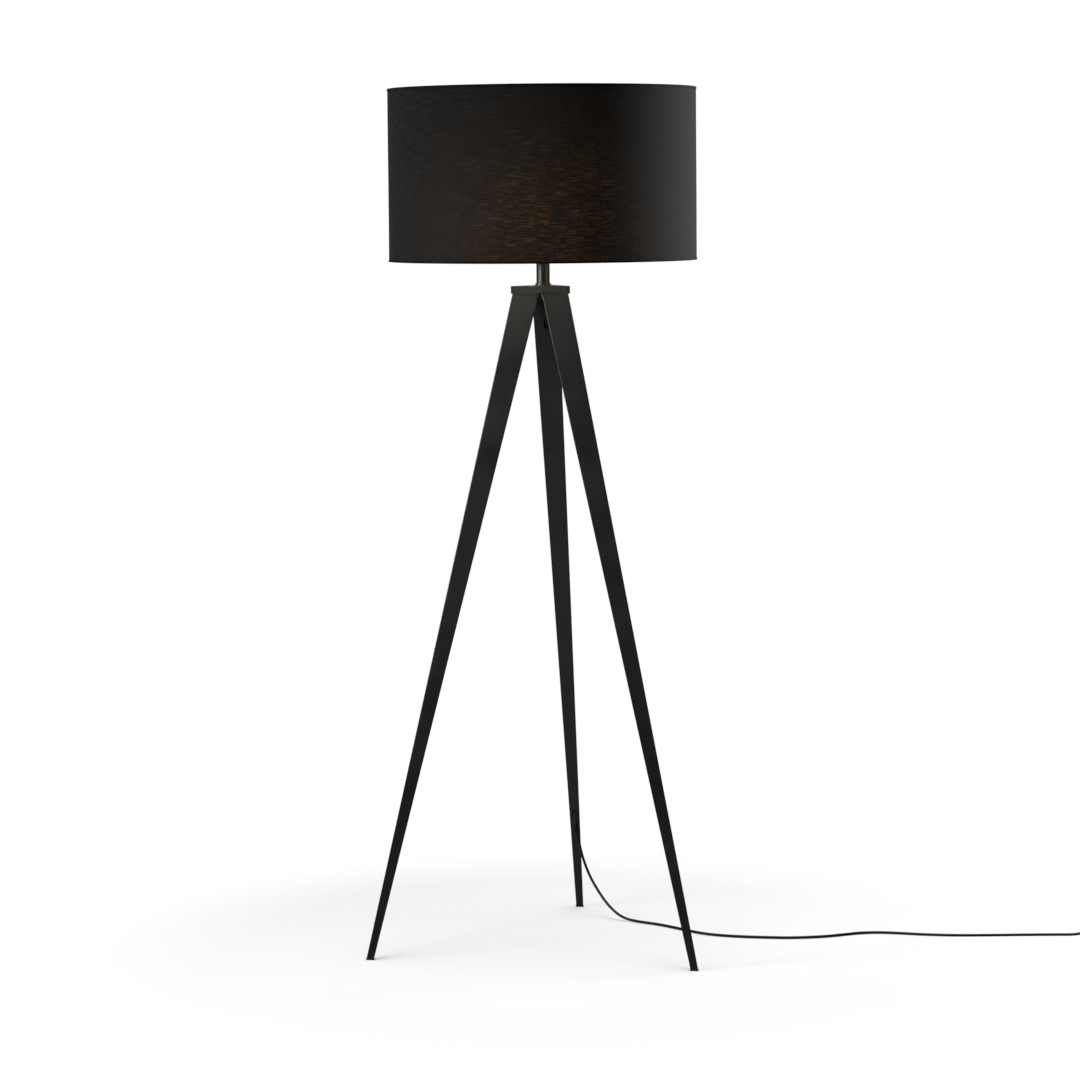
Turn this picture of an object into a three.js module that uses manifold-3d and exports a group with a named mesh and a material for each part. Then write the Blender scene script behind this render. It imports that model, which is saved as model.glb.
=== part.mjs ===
// Tripod floor lamp: drum shade on a short column, triangular head plate, three tapered
// triangular-section legs, and a mains cord with an in-line foot switch and a flat plug.
// Millimetres, +Z up. The origin is on the floor, under the middle of the lamp's bounding box
// (the cord and what is on it are left out of that box). The back leg points along +Y.

import * as THREE from 'three';
import { mergeVertices } from 'three/addons/utils/BufferGeometryUtils.js';
import Module from 'manifold-3d';

const wasm = await Module();
wasm.setup();

// ---------------------------------------------------------------- driving dimensions

const GAP = 0.3; // clearance between pieces that touch

// legs: equilateral sections with rounded corners, tapering straight from head to foot
const LEG_COUNT = 3;
const LEG_TOP_HEIGHT = 1178; // underside of the head plate
const LEG_TOP_SIDE = 50.4;
const LEG_FOOT_SIDE = 15.8;
const LEG_TOP_GAP = 2.43; // between neighbouring legs' edges at the head plate
const LEG_FOOT_CENTRE = 336; // radius of the section's centre at the floor
const LEG_CORNER_RADIUS = 1.5;
const LEG_WALL = 1.5;
const LEG_BORE_CORNER_RADIUS = 0.5;
const LEG_INSERT_DEPTH = 14;
const LEG_INSERT_CORNER_RADIUS = 0.75;
const FOOT_PAD_THICKNESS = 2.7;
const FOOT_PAD_MARGIN = 0.6; // how far the pad stands proud of the leg
const FOOT_PAD_CORNER_RADIUS = 1.8;
const FOOT_STUB_HEIGHT = 10; // the part of the pad that plugs into the leg

// openings in the back leg's inner face, measured along the face
const ENTRY_SLOT_DEPTH = 46; // height of the slot's middle below the head plate
const ENTRY_SLOT_LENGTH = 40;
const ENTRY_SLOT_WIDTH = 9;
const EXIT_SLOT_HEIGHT = 178.5; // and above the floor
const EXIT_SLOT_LENGTH = 37;
const EXIT_SLOT_WIDTH = 9.6;
const GROMMET_FLANGE = 0.9;
const GROMMET_LIP = 1; // flange beyond the slot's edge
const GROMMET_NECK_WALL = 0.7;

// head plate
const PLATE_THICKNESS = 13.8;
const PLATE_OVERHANG = 2.8; // beyond the legs' outer faces
const PLATE_CORNER_FLAT = 6;
const PLATE_EDGE = 0.9; // rounding
const SCREW_RADIUS = 3;
const SCREW_HEAD_RADIUS = 6;
const SCREW_HEAD_DEPTH = 3.4;
const SCREW_LENGTH = 22;
const SCREW_SUNK = 0.2; // head below the plate's top
const SCREW_HEAD_RIM = 0.4;
const SCREW_TIP = 0.8; // chamfer
const SCREW_HEX = 4; // key size across the flats
const SCREW_HEX_DEPTH = 2;

// column and the threaded pipe that clamps head, column and lampholder together
const COLUMN_RADIUS = 11.9;
const COLUMN_WALL = 2;
const COLUMN_LENGTH = 67.4;
const COLLAR_WIDTH = 1.8;
const COLLAR_HEIGHT = 4;
const COLLAR_CHAMFER = 1.2;
const BUSH_HEIGHT = 8;
const PIPE_RADIUS = 5;
const PIPE_BORE_RADIUS = 3.5;
const PIPE_BELOW_PLATE = 9.5;
const PIPE_IN_HOLDER = 7;
const WASHER_RADIUS = 11;
const WASHER_THICKNESS = 1.6;
const NUT_ACROSS_FLATS = 15;
const NUT_THICKNESS = 4.5;

// lampholder, E27, heights measured from its base
const HOLDER_CAP_HEIGHT = 20;
const HOLDER_CAP_STEP = 0.4; // cap inside the skirt's radius
const HOLDER_FLOOR = 4.5;
const HOLDER_SHOULDERS = [7, 12]; // where the cap's slope starts to round and where it is upright
const HOLDER_RADIUS = 19.7;
const HOLDER_WALL = 2.2;
const HOLDER_HEIGHT = 60;
const HOLDER_NECK_WALL = 4.2; // round the threaded pipe
const HOLDER_CORE_BOTTOM = 12;
const HOLDER_CORE_TOP = 25;
const WIRE_CHANNEL = [3.4, 8]; // through the core
const WIRE_CHANNEL_RADIUS = 8.5;
const THREAD_SLEEVE_WALL = 0.5;
const THREAD_SLEEVE_BOTTOM = 29;
const THREAD_SLEEVE_RECESS = 8; // below the skirt's rim
const CENTRE_CONTACT = [5, 12, 0.7];
const RING_NUT_RADIUS = 28;
const RING_NUT_HEIGHT = 7;
const SPIDER_HEIGHT = 41; // middle of the spider's hub
const HUB_THICKNESS = 1.8;
const HUB_MARGIN = 3; // hub washer beyond the ring nuts, where the arms are welded

// lamp bulb, A60 with an E27 cap
const BULB_LENGTH = 108;
const BULB_RADIUS = 30;
const BULB_WALL = 1;
const BULB_COLLAR_RADIUS = 20;
const BULB_COLLAR_HEIGHT = 46; // globe's lower edge above the tip
const BULB_COLLAR_BAND = 8;
const BULB_SPHERE_START = -Math.PI / 7; // below the globe's equator, where the cone meets the sphere
const BULB_CAP_RADIUS = 13.1;
const BULB_CAP_BOTTOM = 4;
const BULB_CAP_HEIGHT = 24;
const BULB_CAP_FLOOR_RADIUS = 8;
const BULB_THREAD_START = 7;
const BULB_THREAD_PITCH = 4;
const BULB_THREAD_DEPTH = 1;
const BULB_THREAD_COUNT = 3;
const BULB_TIP_RADII = [3.5, 7];
const BULB_TIP_CROWN = 0.6;
const LED_BOARD_THICKNESS = 1.6;
const LED_BOARD_MARGIN = 1.5;
const BULB_TIP_HEIGHT = 28.5; // tip of the cap above the lampholder's base

// shade
const SHADE_RADIUS = 275;
const SHADE_HEIGHT = 306;
const SHADE_BELOW_SPIDER = 64.4; // lower rim below the middle of the spider's hub
const FABRIC_THICKNESS = 0.8;
const LINER_THICKNESS = 0.4;
const BINDING_THICKNESS = 0.6;
const BINDING_DEPTH = 4;
const WIRE_RADIUS = 1.5;
const SHADE_SEGMENTS = 60;
const ARM_BEND = 14;
const ARM_COUNT = 3;

// mains cord
const CORD_RADIUS = 2.5;
const CORD_SIDES = 8;
const SLEEVE_TOP_RADIUS = 3.7;
const SLEEVE_END_RADIUS = 3.3;
const SLEEVE_LENGTH = 24;
const BOOT_ROOT_RADIUS = 5.4; // strain reliefs on the switch and the plug
const BOOT_END_RADIUS = 3.4;
const BOOT_LENGTH = 24;
const BOOT_ROOT_LENGTH = 3;
const CORD_EXIT_HEIGHT = 179; // where the cord crosses the plane of the leg's inner face
const COIL_CENTRE = [1088, 288];
const COIL_RADIUS = 27.5; // middle of the turns
const COIL_TURN = 5.2; // spacing of the turns, two side by side and two high
const COIL_BOTTOM = 1.4; // the tie's thickness and its gap to the turns
const TIE_WIDTH = 9;
const TIE_THICKNESS = 1.1;
const TIE_ANGLE = 205;

// foot switch
const SWITCH_CENTRE = [1024, 210];
const SWITCH_RADIUS = 31;
const SWITCH_BASE_HEIGHT = 9;
const SWITCH_HEIGHT = 23;
const SWITCH_WALL = 2;
const SWITCH_EDGE = 1; // chamfer
const SWITCH_UPRIGHT = 12; // top of the cover's upright part
const SWITCH_SHOULDER_DEPTH = 5; // below the cover's top
const SWITCH_SHOULDER_INSET = 1.6;
const SWITCH_TOP_INSET = 6;
const SWITCH_RIM_WIDTH = 2; // round the button
const SWITCH_RIM_DEPTH = 2.2;
const SWITCH_CORD_HEIGHT = 7.5;
const CORD_HOLE_DEPTH = 12;
const BUTTON_RADIUS = 17;
const BUTTON_FLANGE = 2;
const BUTTON_FLANGE_THICKNESS = 1.6;
const BUTTON_WALL = 2;
const BUTTON_CEILING = 4.5;
const BUTTON_EDGE = [2, 1.5]; // rounding of the top, inwards and down
const BUTTON_CROWN = 0.5;
const BUTTON_PROUD = 5;
const BUTTON_TRAVEL = 3;
const BUTTON_CLEARANCE = 0.35;
const STEM_RADIUS = 2.5;
const SPRING_RADIUS = 4.6;
const SPRING_WIRE = 0.5;
const SPRING_TURNS = 4;
const CONTACT_BLOCK = [20, 13, 5];

// flat two-pin plug
const PLUG_Y = 323;
const PLUG_BACK = 1018; // where the body meets its boot
const PLUG_LENGTH = 35;
const PLUG_WIDTH = 27;
const PLUG_THICKNESS = 13.7;
const PLUG_EDGE = 1.6; // rounding
const PLUG_NOSE = 2; // corner chamfer at the pins' end
const PLUG_TAIL = [[0, 5.5], [8, 8.5], [16, 13.5]]; // distance from the back, half-width
const PIN_RADIUS = 2;
const PIN_LENGTH = 19;
const PIN_SPACING = 18.6;
const PIN_ROOT = 6;
const PIN_TIP = [1, 1.5]; // rounding of the tip, inwards and along
const PLUG_BORE_DEPTH = 6;

// ---------------------------------------------------------------- derived places

const legTopCentre = (LEG_TOP_SIDE + LEG_TOP_GAP) / Math.sqrt(3); // radius, as LEG_FOOT_CENTRE
const entrySlotHeight = LEG_TOP_HEIGHT - ENTRY_SLOT_DEPTH;
const plateTop = LEG_TOP_HEIGHT + PLATE_THICKNESS;
const columnTop = plateTop + GAP + COLUMN_LENGTH;
const holderBase = columnTop + GAP;
const spiderHeight = holderBase + SPIDER_HEIGHT;
const shadeBottom = spiderHeight - SHADE_BELOW_SPIDER;
const footPadSide = LEG_FOOT_SIDE + 2 * Math.sqrt(3) * FOOT_PAD_MARGIN;
const footPadCentre = legCentre(FOOT_PAD_THICKNESS + GAP);
const legReach = footPadCentre + footPadSide / Math.sqrt(3) - FOOT_PAD_CORNER_RADIUS;
const axisY = (SHADE_RADIUS - legReach) / 2; // the lamp's axis in the part's own frame

// ---------------------------------------------------------------- materials

const finish = (color, roughness, metalness = 0) =>
  new THREE.MeshStandardMaterial({ color, roughness, metalness });
const BLACK_PAINT = finish(0x1c1c1c, 0.45, 0.1);
const BLACK_FABRIC = finish(0x16130f, 0.95);
const LINER = finish(0x5a4a38, 0.6);
const WIRE = finish(0x9a9a9a, 0.4, 0.8);
const STEEL = finish(0xa8a8a4, 0.35, 0.9);
const BRASS = finish(0xb8964a, 0.3, 0.9);
const BLACK_PLASTIC = finish(0x141414, 0.4);
const CERAMIC = finish(0xe6e2d8, 0.5);
const OPAL = finish(0xfff4e0, 0.5);
const WHITE_PLASTIC = finish(0xeeeeea, 0.45);
const NICKEL = finish(0xc8c8c4, 0.25, 1);
const RUBBER = finish(0x101010, 0.8);
const CORD = finish(0x121212, 0.5);

// ---------------------------------------------------------------- geometry helpers

// A closed body of merged vertices with its faces pointing out.
function closed(geometry) {
  const bare = geometry.clone();
  bare.deleteAttribute('normal');
  bare.deleteAttribute('uv');
  const merged = mergeVertices(bare, 1e-4);
  const position = merged.getAttribute('position');
  const index = merged.getIndex().array;
  const kept = [];
  let volume = 0;
  const [a, b, c] = [new THREE.Vector3(), new THREE.Vector3(), new THREE.Vector3()];
  for (let i = 0; i < index.length; i += 3) {
    const [p, q, r] = index.subarray(i, i + 3);
    if (p === q || q === r || r === p) continue;
    kept.push(p, q, r);
    a.fromBufferAttribute(position, p);
    b.fromBufferAttribute(position, q);
    c.fromBufferAttribute(position, r);
    volume += a.dot(b.cross(c));
  }
  const faces = volume < 0 ? kept.reverse() : kept;
  const result = new THREE.BufferGeometry();
  result.setAttribute('position', position.clone());
  result.setIndex(faces);
  return result;
}

function toSolid(geometry) {
  const body = closed(geometry);
  const mesh = new wasm.Mesh({
    numProp: 3,
    vertProperties: new Float32Array(body.getAttribute('position').array),
    triVerts: new Uint32Array(body.getIndex().array),
  });
  return new wasm.Manifold(mesh);
}

function fromSolid(solid) {
  const mesh = solid.getMesh();
  const geometry = new THREE.BufferGeometry();
  geometry.setAttribute('position', new THREE.BufferAttribute(mesh.vertProperties, 3));
  geometry.setIndex(new THREE.BufferAttribute(mesh.triVerts, 1));
  return geometry;
}

function cut(geometry, ...tools) {
  return fromSolid(tools.reduce((solid, tool) => solid.subtract(toSolid(tool)), toSolid(geometry)));
}

function join(geometry, ...others) {
  return fromSolid(others.reduce((solid, other) => solid.add(toSolid(other)), toSolid(geometry)));
}

function named(name, geometry, material) {
  const body = new THREE.Mesh(closed(geometry), material);
  body.name = name;
  return body;
}

// A body of revolution about Z from [radius, height] pairs. A ring's outline is closed here.
function turned(outline, segments = 24) {
  const points = outline.map(([r, z]) => new THREE.Vector2(r, z));
  if (outline[0][0] > 0) points.push(points[0].clone());
  return new THREE.LatheGeometry(points, segments).rotateX(Math.PI / 2);
}

// A ring with a rectangular section.
function ring(inner, outer, bottom, top, segments = 24) {
  return turned([[inner, bottom], [outer, bottom], [outer, top], [inner, top]], segments);
}

function cylinder(radius, bottom, top, segments = 24) {
  return turned([[0, bottom], [radius, bottom], [radius, top], [0, top]], segments);
}

function box(width, depth, height, x, y, bottom) {
  return new THREE.BoxGeometry(width, depth, height).translate(x, y, bottom + height / 2);
}

function prism(shape, bottom, top, curveSegments = 6) {
  const options = { depth: top - bottom, bevelEnabled: false, curveSegments };
  return new THREE.ExtrudeGeometry(shape, options).translate(0, 0, bottom);
}

function hexagon(acrossFlats, bottom, top) {
  const body = new THREE.CylinderGeometry(
    acrossFlats / Math.sqrt(3), acrossFlats / Math.sqrt(3), top - bottom, 6,
  );
  return body.rotateX(Math.PI / 2).translate(0, 0, (bottom + top) / 2);
}

// A slot's outline with round ends, its length along Y.
function slot(width, length) {
  const radius = width / 2;
  const straight = length / 2 - radius;
  const shape = new THREE.Shape();
  shape.absarc(0, straight, radius, 0, Math.PI);
  shape.absarc(0, -straight, radius, Math.PI, 2 * Math.PI);
  return shape;
}

// An equilateral triangle with rounded corners, one corner pointing along +Y.
function triangle(side, radius, segments = 4) {
  const cornerDistance = side / Math.sqrt(3) - 2 * radius;
  const points = [];
  for (let corner = 0; corner < 3; corner++) {
    const direction = Math.PI / 2 + (corner * 2 * Math.PI) / 3;
    const centre = new THREE.Vector2(Math.cos(direction), Math.sin(direction));
    centre.multiplyScalar(cornerDistance);
    for (let i = 0; i <= segments; i++) {
      const angle = direction + Math.PI * (-1 / 3 + ((2 / 3) * i) / segments);
      points.push(
        new THREE.Vector2(radius * Math.cos(angle), radius * Math.sin(angle)).add(centre),
      );
    }
  }
  return points;
}

// A straight-sided body between two outlines with the same number of points.
function loft(lower, lowerPlace, upper, upperPlace) {
  const count = lower.length;
  const vertices = [];
  for (const [outline, place] of [[lower, lowerPlace], [upper, upperPlace]]) {
    for (const p of outline) vertices.push(p.x + place.x, p.y + place.y, place.z);
  }
  const faces = [];
  for (let i = 0; i < count; i++) {
    const j = (i + 1) % count;
    faces.push(i, j, count + i, j, count + j, count + i);
  }
  for (const [a, b, c] of THREE.ShapeUtils.triangulateShape(lower, [])) {
    faces.push(a, c, b, count + a, count + b, count + c);
  }
  const geometry = new THREE.BufferGeometry();
  geometry.setAttribute('position', new THREE.Float32BufferAttribute(vertices, 3));
  geometry.setIndex(faces);
  return geometry;
}

// A round cord along a curve.
function cordAlong(curve, steps, radius = CORD_RADIUS, sides = CORD_SIDES) {
  const section = new THREE.Shape();
  for (let i = 0; i < sides; i++) {
    const angle = (2 * Math.PI * i) / sides;
    const [x, y] = [radius * Math.cos(angle), radius * Math.sin(angle)];
    if (i === 0) section.moveTo(x, y);
    else section.lineTo(x, y);
  }
  section.closePath();
  return new THREE.ExtrudeGeometry(section, { steps, bevelEnabled: false, extrudePath: curve });
}

function curveThrough(points) {
  return new THREE.CatmullRomCurve3(
    points.map(([x, y, z]) => new THREE.Vector3(x, y, z)), false, 'centripetal',
  );
}

// ---------------------------------------------------------------- legs

function legShare(height) {
  return height / LEG_TOP_HEIGHT;
}

function legCentre(height) {
  return THREE.MathUtils.lerp(LEG_FOOT_CENTRE, legTopCentre, legShare(height));
}

function legSide(height) {
  return THREE.MathUtils.lerp(LEG_FOOT_SIDE, LEG_TOP_SIDE, legShare(height));
}

// The leg's section moved inwards on all three sides, between two heights.
function legBody(bottom, top, inset, radius) {
  const place = (z) => new THREE.Vector3(0, legCentre(z), z);
  const outline = (z) => triangle(legSide(z) - 2 * Math.sqrt(3) * inset, radius);
  return loft(outline(bottom), place(bottom), outline(top), place(top));
}

// Distance of the back leg's inner face from the lamp's axis.
function innerFaceRadius(height) {
  return legCentre(height) - legSide(height) / (2 * Math.sqrt(3));
}

// Puts a shape drawn in the plane of a leg's inner face, +Y up the face and +Z out of it.
function onInnerFace(geometry, height) {
  const lean = innerFaceRadius(height + 1) - innerFaceRadius(height);
  const up = new THREE.Vector3(0, lean, 1).normalize();
  const across = new THREE.Vector3(1, 0, 0);
  const out = new THREE.Vector3().crossVectors(across, up);
  const frame = new THREE.Matrix4().makeBasis(across, up, out);
  frame.setPosition(0, innerFaceRadius(height), height);
  return geometry.applyMatrix4(frame);
}

function legSlot(width, length, height) {
  return onInnerFace(prism(slot(width, length), -4 * LEG_WALL, 2 * LEG_WALL), height);
}

function legTube(withCord) {
  const bottom = FOOT_PAD_THICKNESS + GAP;
  const top = LEG_TOP_HEIGHT - GAP;
  const tube = cut(
    legBody(bottom, top, 0, LEG_CORNER_RADIUS),
    legBody(bottom - 1, top + 1, LEG_WALL, LEG_BORE_CORNER_RADIUS),
  );
  if (!withCord) return tube;
  return cut(
    tube,
    legSlot(ENTRY_SLOT_WIDTH, ENTRY_SLOT_LENGTH, entrySlotHeight),
    legSlot(EXIT_SLOT_WIDTH, EXIT_SLOT_LENGTH, EXIT_SLOT_HEIGHT),
  );
}

function legInsert() {
  const top = LEG_TOP_HEIGHT - GAP;
  const bottom = top - LEG_INSERT_DEPTH;
  const block = legBody(bottom, top, LEG_WALL + GAP, LEG_INSERT_CORNER_RADIUS);
  const hole = cylinder(SCREW_RADIUS + GAP, bottom - 1, top + 1, 16);
  return cut(block, hole.translate(0, legTopCentre, 0));
}

function footPad() {
  const outline = triangle(footPadSide, FOOT_PAD_CORNER_RADIUS);
  const place = (z) => new THREE.Vector3(0, footPadCentre, z);
  const flange = loft(outline, place(0), outline, place(FOOT_PAD_THICKNESS));
  const stub = legBody(
    FOOT_PAD_THICKNESS / 2, FOOT_PAD_THICKNESS + FOOT_STUB_HEIGHT, LEG_WALL + GAP,
    LEG_BORE_CORNER_RADIUS,
  );
  return join(flange, stub);
}

function legScrew() {
  const top = plateTop - SCREW_SUNK;
  const headBottom = top - SCREW_HEAD_DEPTH;
  const body = turned([
    [0, top - SCREW_LENGTH],
    [SCREW_RADIUS - SCREW_TIP, top - SCREW_LENGTH],
    [SCREW_RADIUS, top - SCREW_LENGTH + SCREW_TIP],
    [SCREW_RADIUS, headBottom],
    [SCREW_HEAD_RADIUS, top - SCREW_HEAD_RIM],
    [SCREW_HEAD_RADIUS, top],
    [0, top],
  ], 16);
  const key = hexagon(SCREW_HEX, top - SCREW_HEX_DEPTH, top + 1);
  return cut(body, key).translate(0, legTopCentre, 0);
}

function legs() {
  const group = new THREE.Group();
  const places = ['back', 'left', 'right'];
  for (let i = 0; i < LEG_COUNT; i++) {
    const leg = new THREE.Group();
    leg.rotation.z = (i * 2 * Math.PI) / LEG_COUNT;
    leg.add(
      named(`leg_${places[i]}`, legTube(i === 0), BLACK_PAINT),
      named(`leg_insert_${places[i]}`, legInsert(), STEEL),
      named(`leg_screw_${places[i]}`, legScrew(), STEEL),
      named(`foot_pad_${places[i]}`, footPad(), RUBBER),
    );
    group.add(leg);
  }
  return group;
}

// ---------------------------------------------------------------- head plate and column

function headPlate() {
  const legFace = legTopCentre / 2 + LEG_TOP_SIDE / (2 * Math.sqrt(3));
  const cornerDistance = 2 * (legFace + PLATE_OVERHANG);
  const flatDistance = cornerDistance - (PLATE_CORNER_FLAT / 2) * Math.sqrt(3);
  const outline = [];
  for (let i = 0; i < LEG_COUNT; i++) {
    const angle = Math.PI / 2 + (i * 2 * Math.PI) / LEG_COUNT;
    const out = new THREE.Vector2(Math.cos(angle), Math.sin(angle));
    const along = new THREE.Vector2(-out.y, out.x);
    for (const side of [-1, 1]) {
      const corner = out.clone().multiplyScalar(flatDistance);
      outline.push(corner.addScaledVector(along, (side * PLATE_CORNER_FLAT) / 2));
    }
  }
  const slab = new THREE.ExtrudeGeometry(new THREE.Shape(outline), {
    depth: PLATE_THICKNESS - 2 * PLATE_EDGE,
    bevelThickness: PLATE_EDGE,
    bevelSize: PLATE_EDGE,
    bevelOffset: -PLATE_EDGE,
    bevelSegments: 2,
    curveSegments: 1,
  }).translate(0, 0, LEG_TOP_HEIGHT + PLATE_EDGE);
  const holes = [cylinder(PIPE_RADIUS + GAP, LEG_TOP_HEIGHT - 1, plateTop + 1, 20)];
  const sinkTop = plateTop - SCREW_SUNK - SCREW_HEAD_RIM - 0.7 * GAP;
  for (let i = 0; i < LEG_COUNT; i++) {
    const hole = turned([
      [0, LEG_TOP_HEIGHT - 1],
      [SCREW_RADIUS + GAP, LEG_TOP_HEIGHT - 1],
      [SCREW_RADIUS + GAP, sinkTop - SCREW_HEAD_DEPTH],
      [SCREW_HEAD_RADIUS + GAP, sinkTop],
      [SCREW_HEAD_RADIUS + GAP, plateTop + 1],
      [0, plateTop + 1],
    ], 16);
    holes.push(
      hole.translate(0, legTopCentre, 0).rotateZ((i * 2 * Math.PI) / LEG_COUNT),
    );
  }
  return cut(slab, ...holes);
}

function column() {
  const bottom = plateTop + GAP;
  const bore = COLUMN_RADIUS - COLUMN_WALL;
  const collarBore = COLUMN_RADIUS + GAP;
  const collarRadius = collarBore + COLLAR_WIDTH;
  const nutTop = LEG_TOP_HEIGHT - 2 * GAP - WASHER_THICKNESS;
  const nutBottom = nutTop - NUT_THICKNESS;
  const group = new THREE.Group();
  group.add(
    named('head_plate', headPlate(), BLACK_PAINT),
    named('column_tube', ring(bore, COLUMN_RADIUS, bottom, columnTop, 32), BLACK_PAINT),
    named('column_collar', turned([
      [collarBore, bottom],
      [collarRadius, bottom],
      [collarRadius, bottom + COLLAR_HEIGHT - COLLAR_CHAMFER],
      [collarRadius - COLLAR_CHAMFER, bottom + COLLAR_HEIGHT],
      [collarBore, bottom + COLLAR_HEIGHT],
    ], 32), BLACK_PAINT),
    named('column_bush', ring(
      PIPE_RADIUS + GAP, bore - GAP, columnTop - BUSH_HEIGHT, columnTop, 24,
    ), STEEL),
    named('threaded_pipe', ring(
      PIPE_BORE_RADIUS, PIPE_RADIUS, LEG_TOP_HEIGHT - PIPE_BELOW_PLATE,
      holderBase + PIPE_IN_HOLDER, 20,
    ), STEEL),
    named('head_washer', ring(
      PIPE_RADIUS + GAP, WASHER_RADIUS, LEG_TOP_HEIGHT - GAP - WASHER_THICKNESS,
      LEG_TOP_HEIGHT - GAP, 20,
    ), STEEL),
    named('head_nut', cut(
      hexagon(NUT_ACROSS_FLATS, nutBottom, nutTop),
      cylinder(PIPE_RADIUS + GAP, nutBottom - 1, nutTop + 1, 20),
    ), STEEL),
  );
  return group;
}

// ---------------------------------------------------------------- lampholder

function lampholder() {
  const neck = PIPE_RADIUS + GAP;
  const neckRadius = neck + HOLDER_NECK_WALL;
  const inner = HOLDER_RADIUS - HOLDER_WALL;
  const capRadius = HOLDER_RADIUS - HOLDER_CAP_STEP;
  const sleeveRadius = BULB_CAP_RADIUS + GAP;
  const [slopeTop, uprightBottom] = HOLDER_SHOULDERS;
  const hubTop = SPIDER_HEIGHT + HUB_THICKNESS / 2 + GAP;
  const hubBottom = SPIDER_HEIGHT - HUB_THICKNESS / 2 - GAP;
  const [channelWidth, channelDepth] = WIRE_CHANNEL;
  const channels = [-1, 1].map((side) => box(
    channelWidth, channelDepth, HOLDER_CORE_TOP, side * WIRE_CHANNEL_RADIUS, 0,
    HOLDER_CORE_BOTTOM - 1,
  ));
  const group = new THREE.Group();
  group.position.z = holderBase;
  group.add(
    named('holder_cap', turned([
      [neck, 0],
      [neckRadius, 0],
      [inner, slopeTop],
      [capRadius, uprightBottom],
      [capRadius, HOLDER_CAP_HEIGHT],
      [inner, HOLDER_CAP_HEIGHT],
      [inner, uprightBottom - 1],
      [neckRadius, HOLDER_FLOOR],
      [neck, HOLDER_FLOOR],
    ], 28), BLACK_PLASTIC),
    named('holder_skirt', ring(
      inner, HOLDER_RADIUS, HOLDER_CAP_HEIGHT + GAP, HOLDER_HEIGHT, 28,
    ), BLACK_PLASTIC),
    named('holder_core', cut(
      cylinder(inner - GAP, HOLDER_CORE_BOTTOM, HOLDER_CORE_TOP, 20), ...channels,
    ), CERAMIC),
    named('holder_thread_sleeve', ring(
      sleeveRadius, sleeveRadius + THREAD_SLEEVE_WALL, THREAD_SLEEVE_BOTTOM,
      HOLDER_HEIGHT - THREAD_SLEEVE_RECESS, 24,
    ), BRASS),
    named('holder_centre_contact', box(
      ...CENTRE_CONTACT, 0, 0, HOLDER_CORE_TOP + GAP,
    ), BRASS),
    named('shade_ring_lower', ring(
      HOLDER_RADIUS + GAP, RING_NUT_RADIUS, hubBottom - RING_NUT_HEIGHT, hubBottom, 28,
    ), BLACK_PLASTIC),
    named('shade_ring_upper', ring(
      HOLDER_RADIUS + GAP, RING_NUT_RADIUS, hubTop, hubTop + RING_NUT_HEIGHT, 28,
    ), BLACK_PLASTIC),
  );
  return group;
}

// ---------------------------------------------------------------- bulb

function bulb() {
  const centre = BULB_LENGTH - BULB_RADIUS;
  const globeBottom = BULB_COLLAR_HEIGHT + GAP;
  // The globe's outline from the collar to the crown: a cone that runs into a sphere.
  const outer = [[BULB_COLLAR_RADIUS, globeBottom]];
  const inner = [[BULB_COLLAR_RADIUS - BULB_WALL, globeBottom]];
  const steps = 7;
  for (let i = 0; i <= steps; i++) {
    const angle = THREE.MathUtils.lerp(BULB_SPHERE_START, Math.PI / 2, i / steps);
    const [c, s] = [i === steps ? 0 : Math.cos(angle), Math.sin(angle)];
    outer.push([BULB_RADIUS * c, centre + BULB_RADIUS * s]);
    inner.push([(BULB_RADIUS - BULB_WALL) * c, centre + (BULB_RADIUS - BULB_WALL) * s]);
  }
  const globe = new THREE.LatheGeometry(
    [...inner.reverse(), ...outer].map(([r, z]) => new THREE.Vector2(r, z)), 20,
  ).rotateX(Math.PI / 2);

  const thread = [];
  for (let turn = 0; turn < BULB_THREAD_COUNT; turn++) {
    const crest = BULB_THREAD_START + BULB_THREAD_PITCH / 2 + turn * BULB_THREAD_PITCH;
    thread.push([BULB_CAP_RADIUS, crest]);
    thread.push([BULB_CAP_RADIUS - BULB_THREAD_DEPTH, crest + BULB_THREAD_PITCH / 2]);
  }
  const tipTop = BULB_CAP_BOTTOM - GAP;
  const [tipInner, tipOuter] = BULB_TIP_RADII;
  const group = new THREE.Group();
  group.position.z = holderBase + BULB_TIP_HEIGHT;
  group.add(
    named('bulb_globe', globe, OPAL),
    named('bulb_body', turned([
      [0, BULB_CAP_HEIGHT + GAP],
      [BULB_CAP_RADIUS, BULB_CAP_HEIGHT + GAP],
      [BULB_COLLAR_RADIUS, BULB_COLLAR_HEIGHT - BULB_COLLAR_BAND],
      [BULB_COLLAR_RADIUS, BULB_COLLAR_HEIGHT],
      [0, BULB_COLLAR_HEIGHT],
    ]), WHITE_PLASTIC),
    named('bulb_led_board', cylinder(
      BULB_COLLAR_RADIUS - BULB_WALL - LED_BOARD_MARGIN, globeBottom,
      globeBottom + LED_BOARD_THICKNESS, 20,
    ), WHITE_PLASTIC),
    named('bulb_screw_cap', turned([
      [0, BULB_CAP_BOTTOM],
      [BULB_CAP_FLOOR_RADIUS, BULB_CAP_BOTTOM],
      [BULB_CAP_RADIUS - BULB_THREAD_DEPTH, BULB_THREAD_START],
      ...thread,
      [BULB_CAP_RADIUS, BULB_CAP_HEIGHT],
      [0, BULB_CAP_HEIGHT],
    ]), NICKEL),
    named('bulb_tip', turned([
      [0, 0],
      [tipInner, BULB_TIP_CROWN],
      [tipOuter, tipTop],
      [0, tipTop],
    ], 16), BLACK_PLASTIC),
  );
  return group;
}

// ---------------------------------------------------------------- shade

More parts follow.
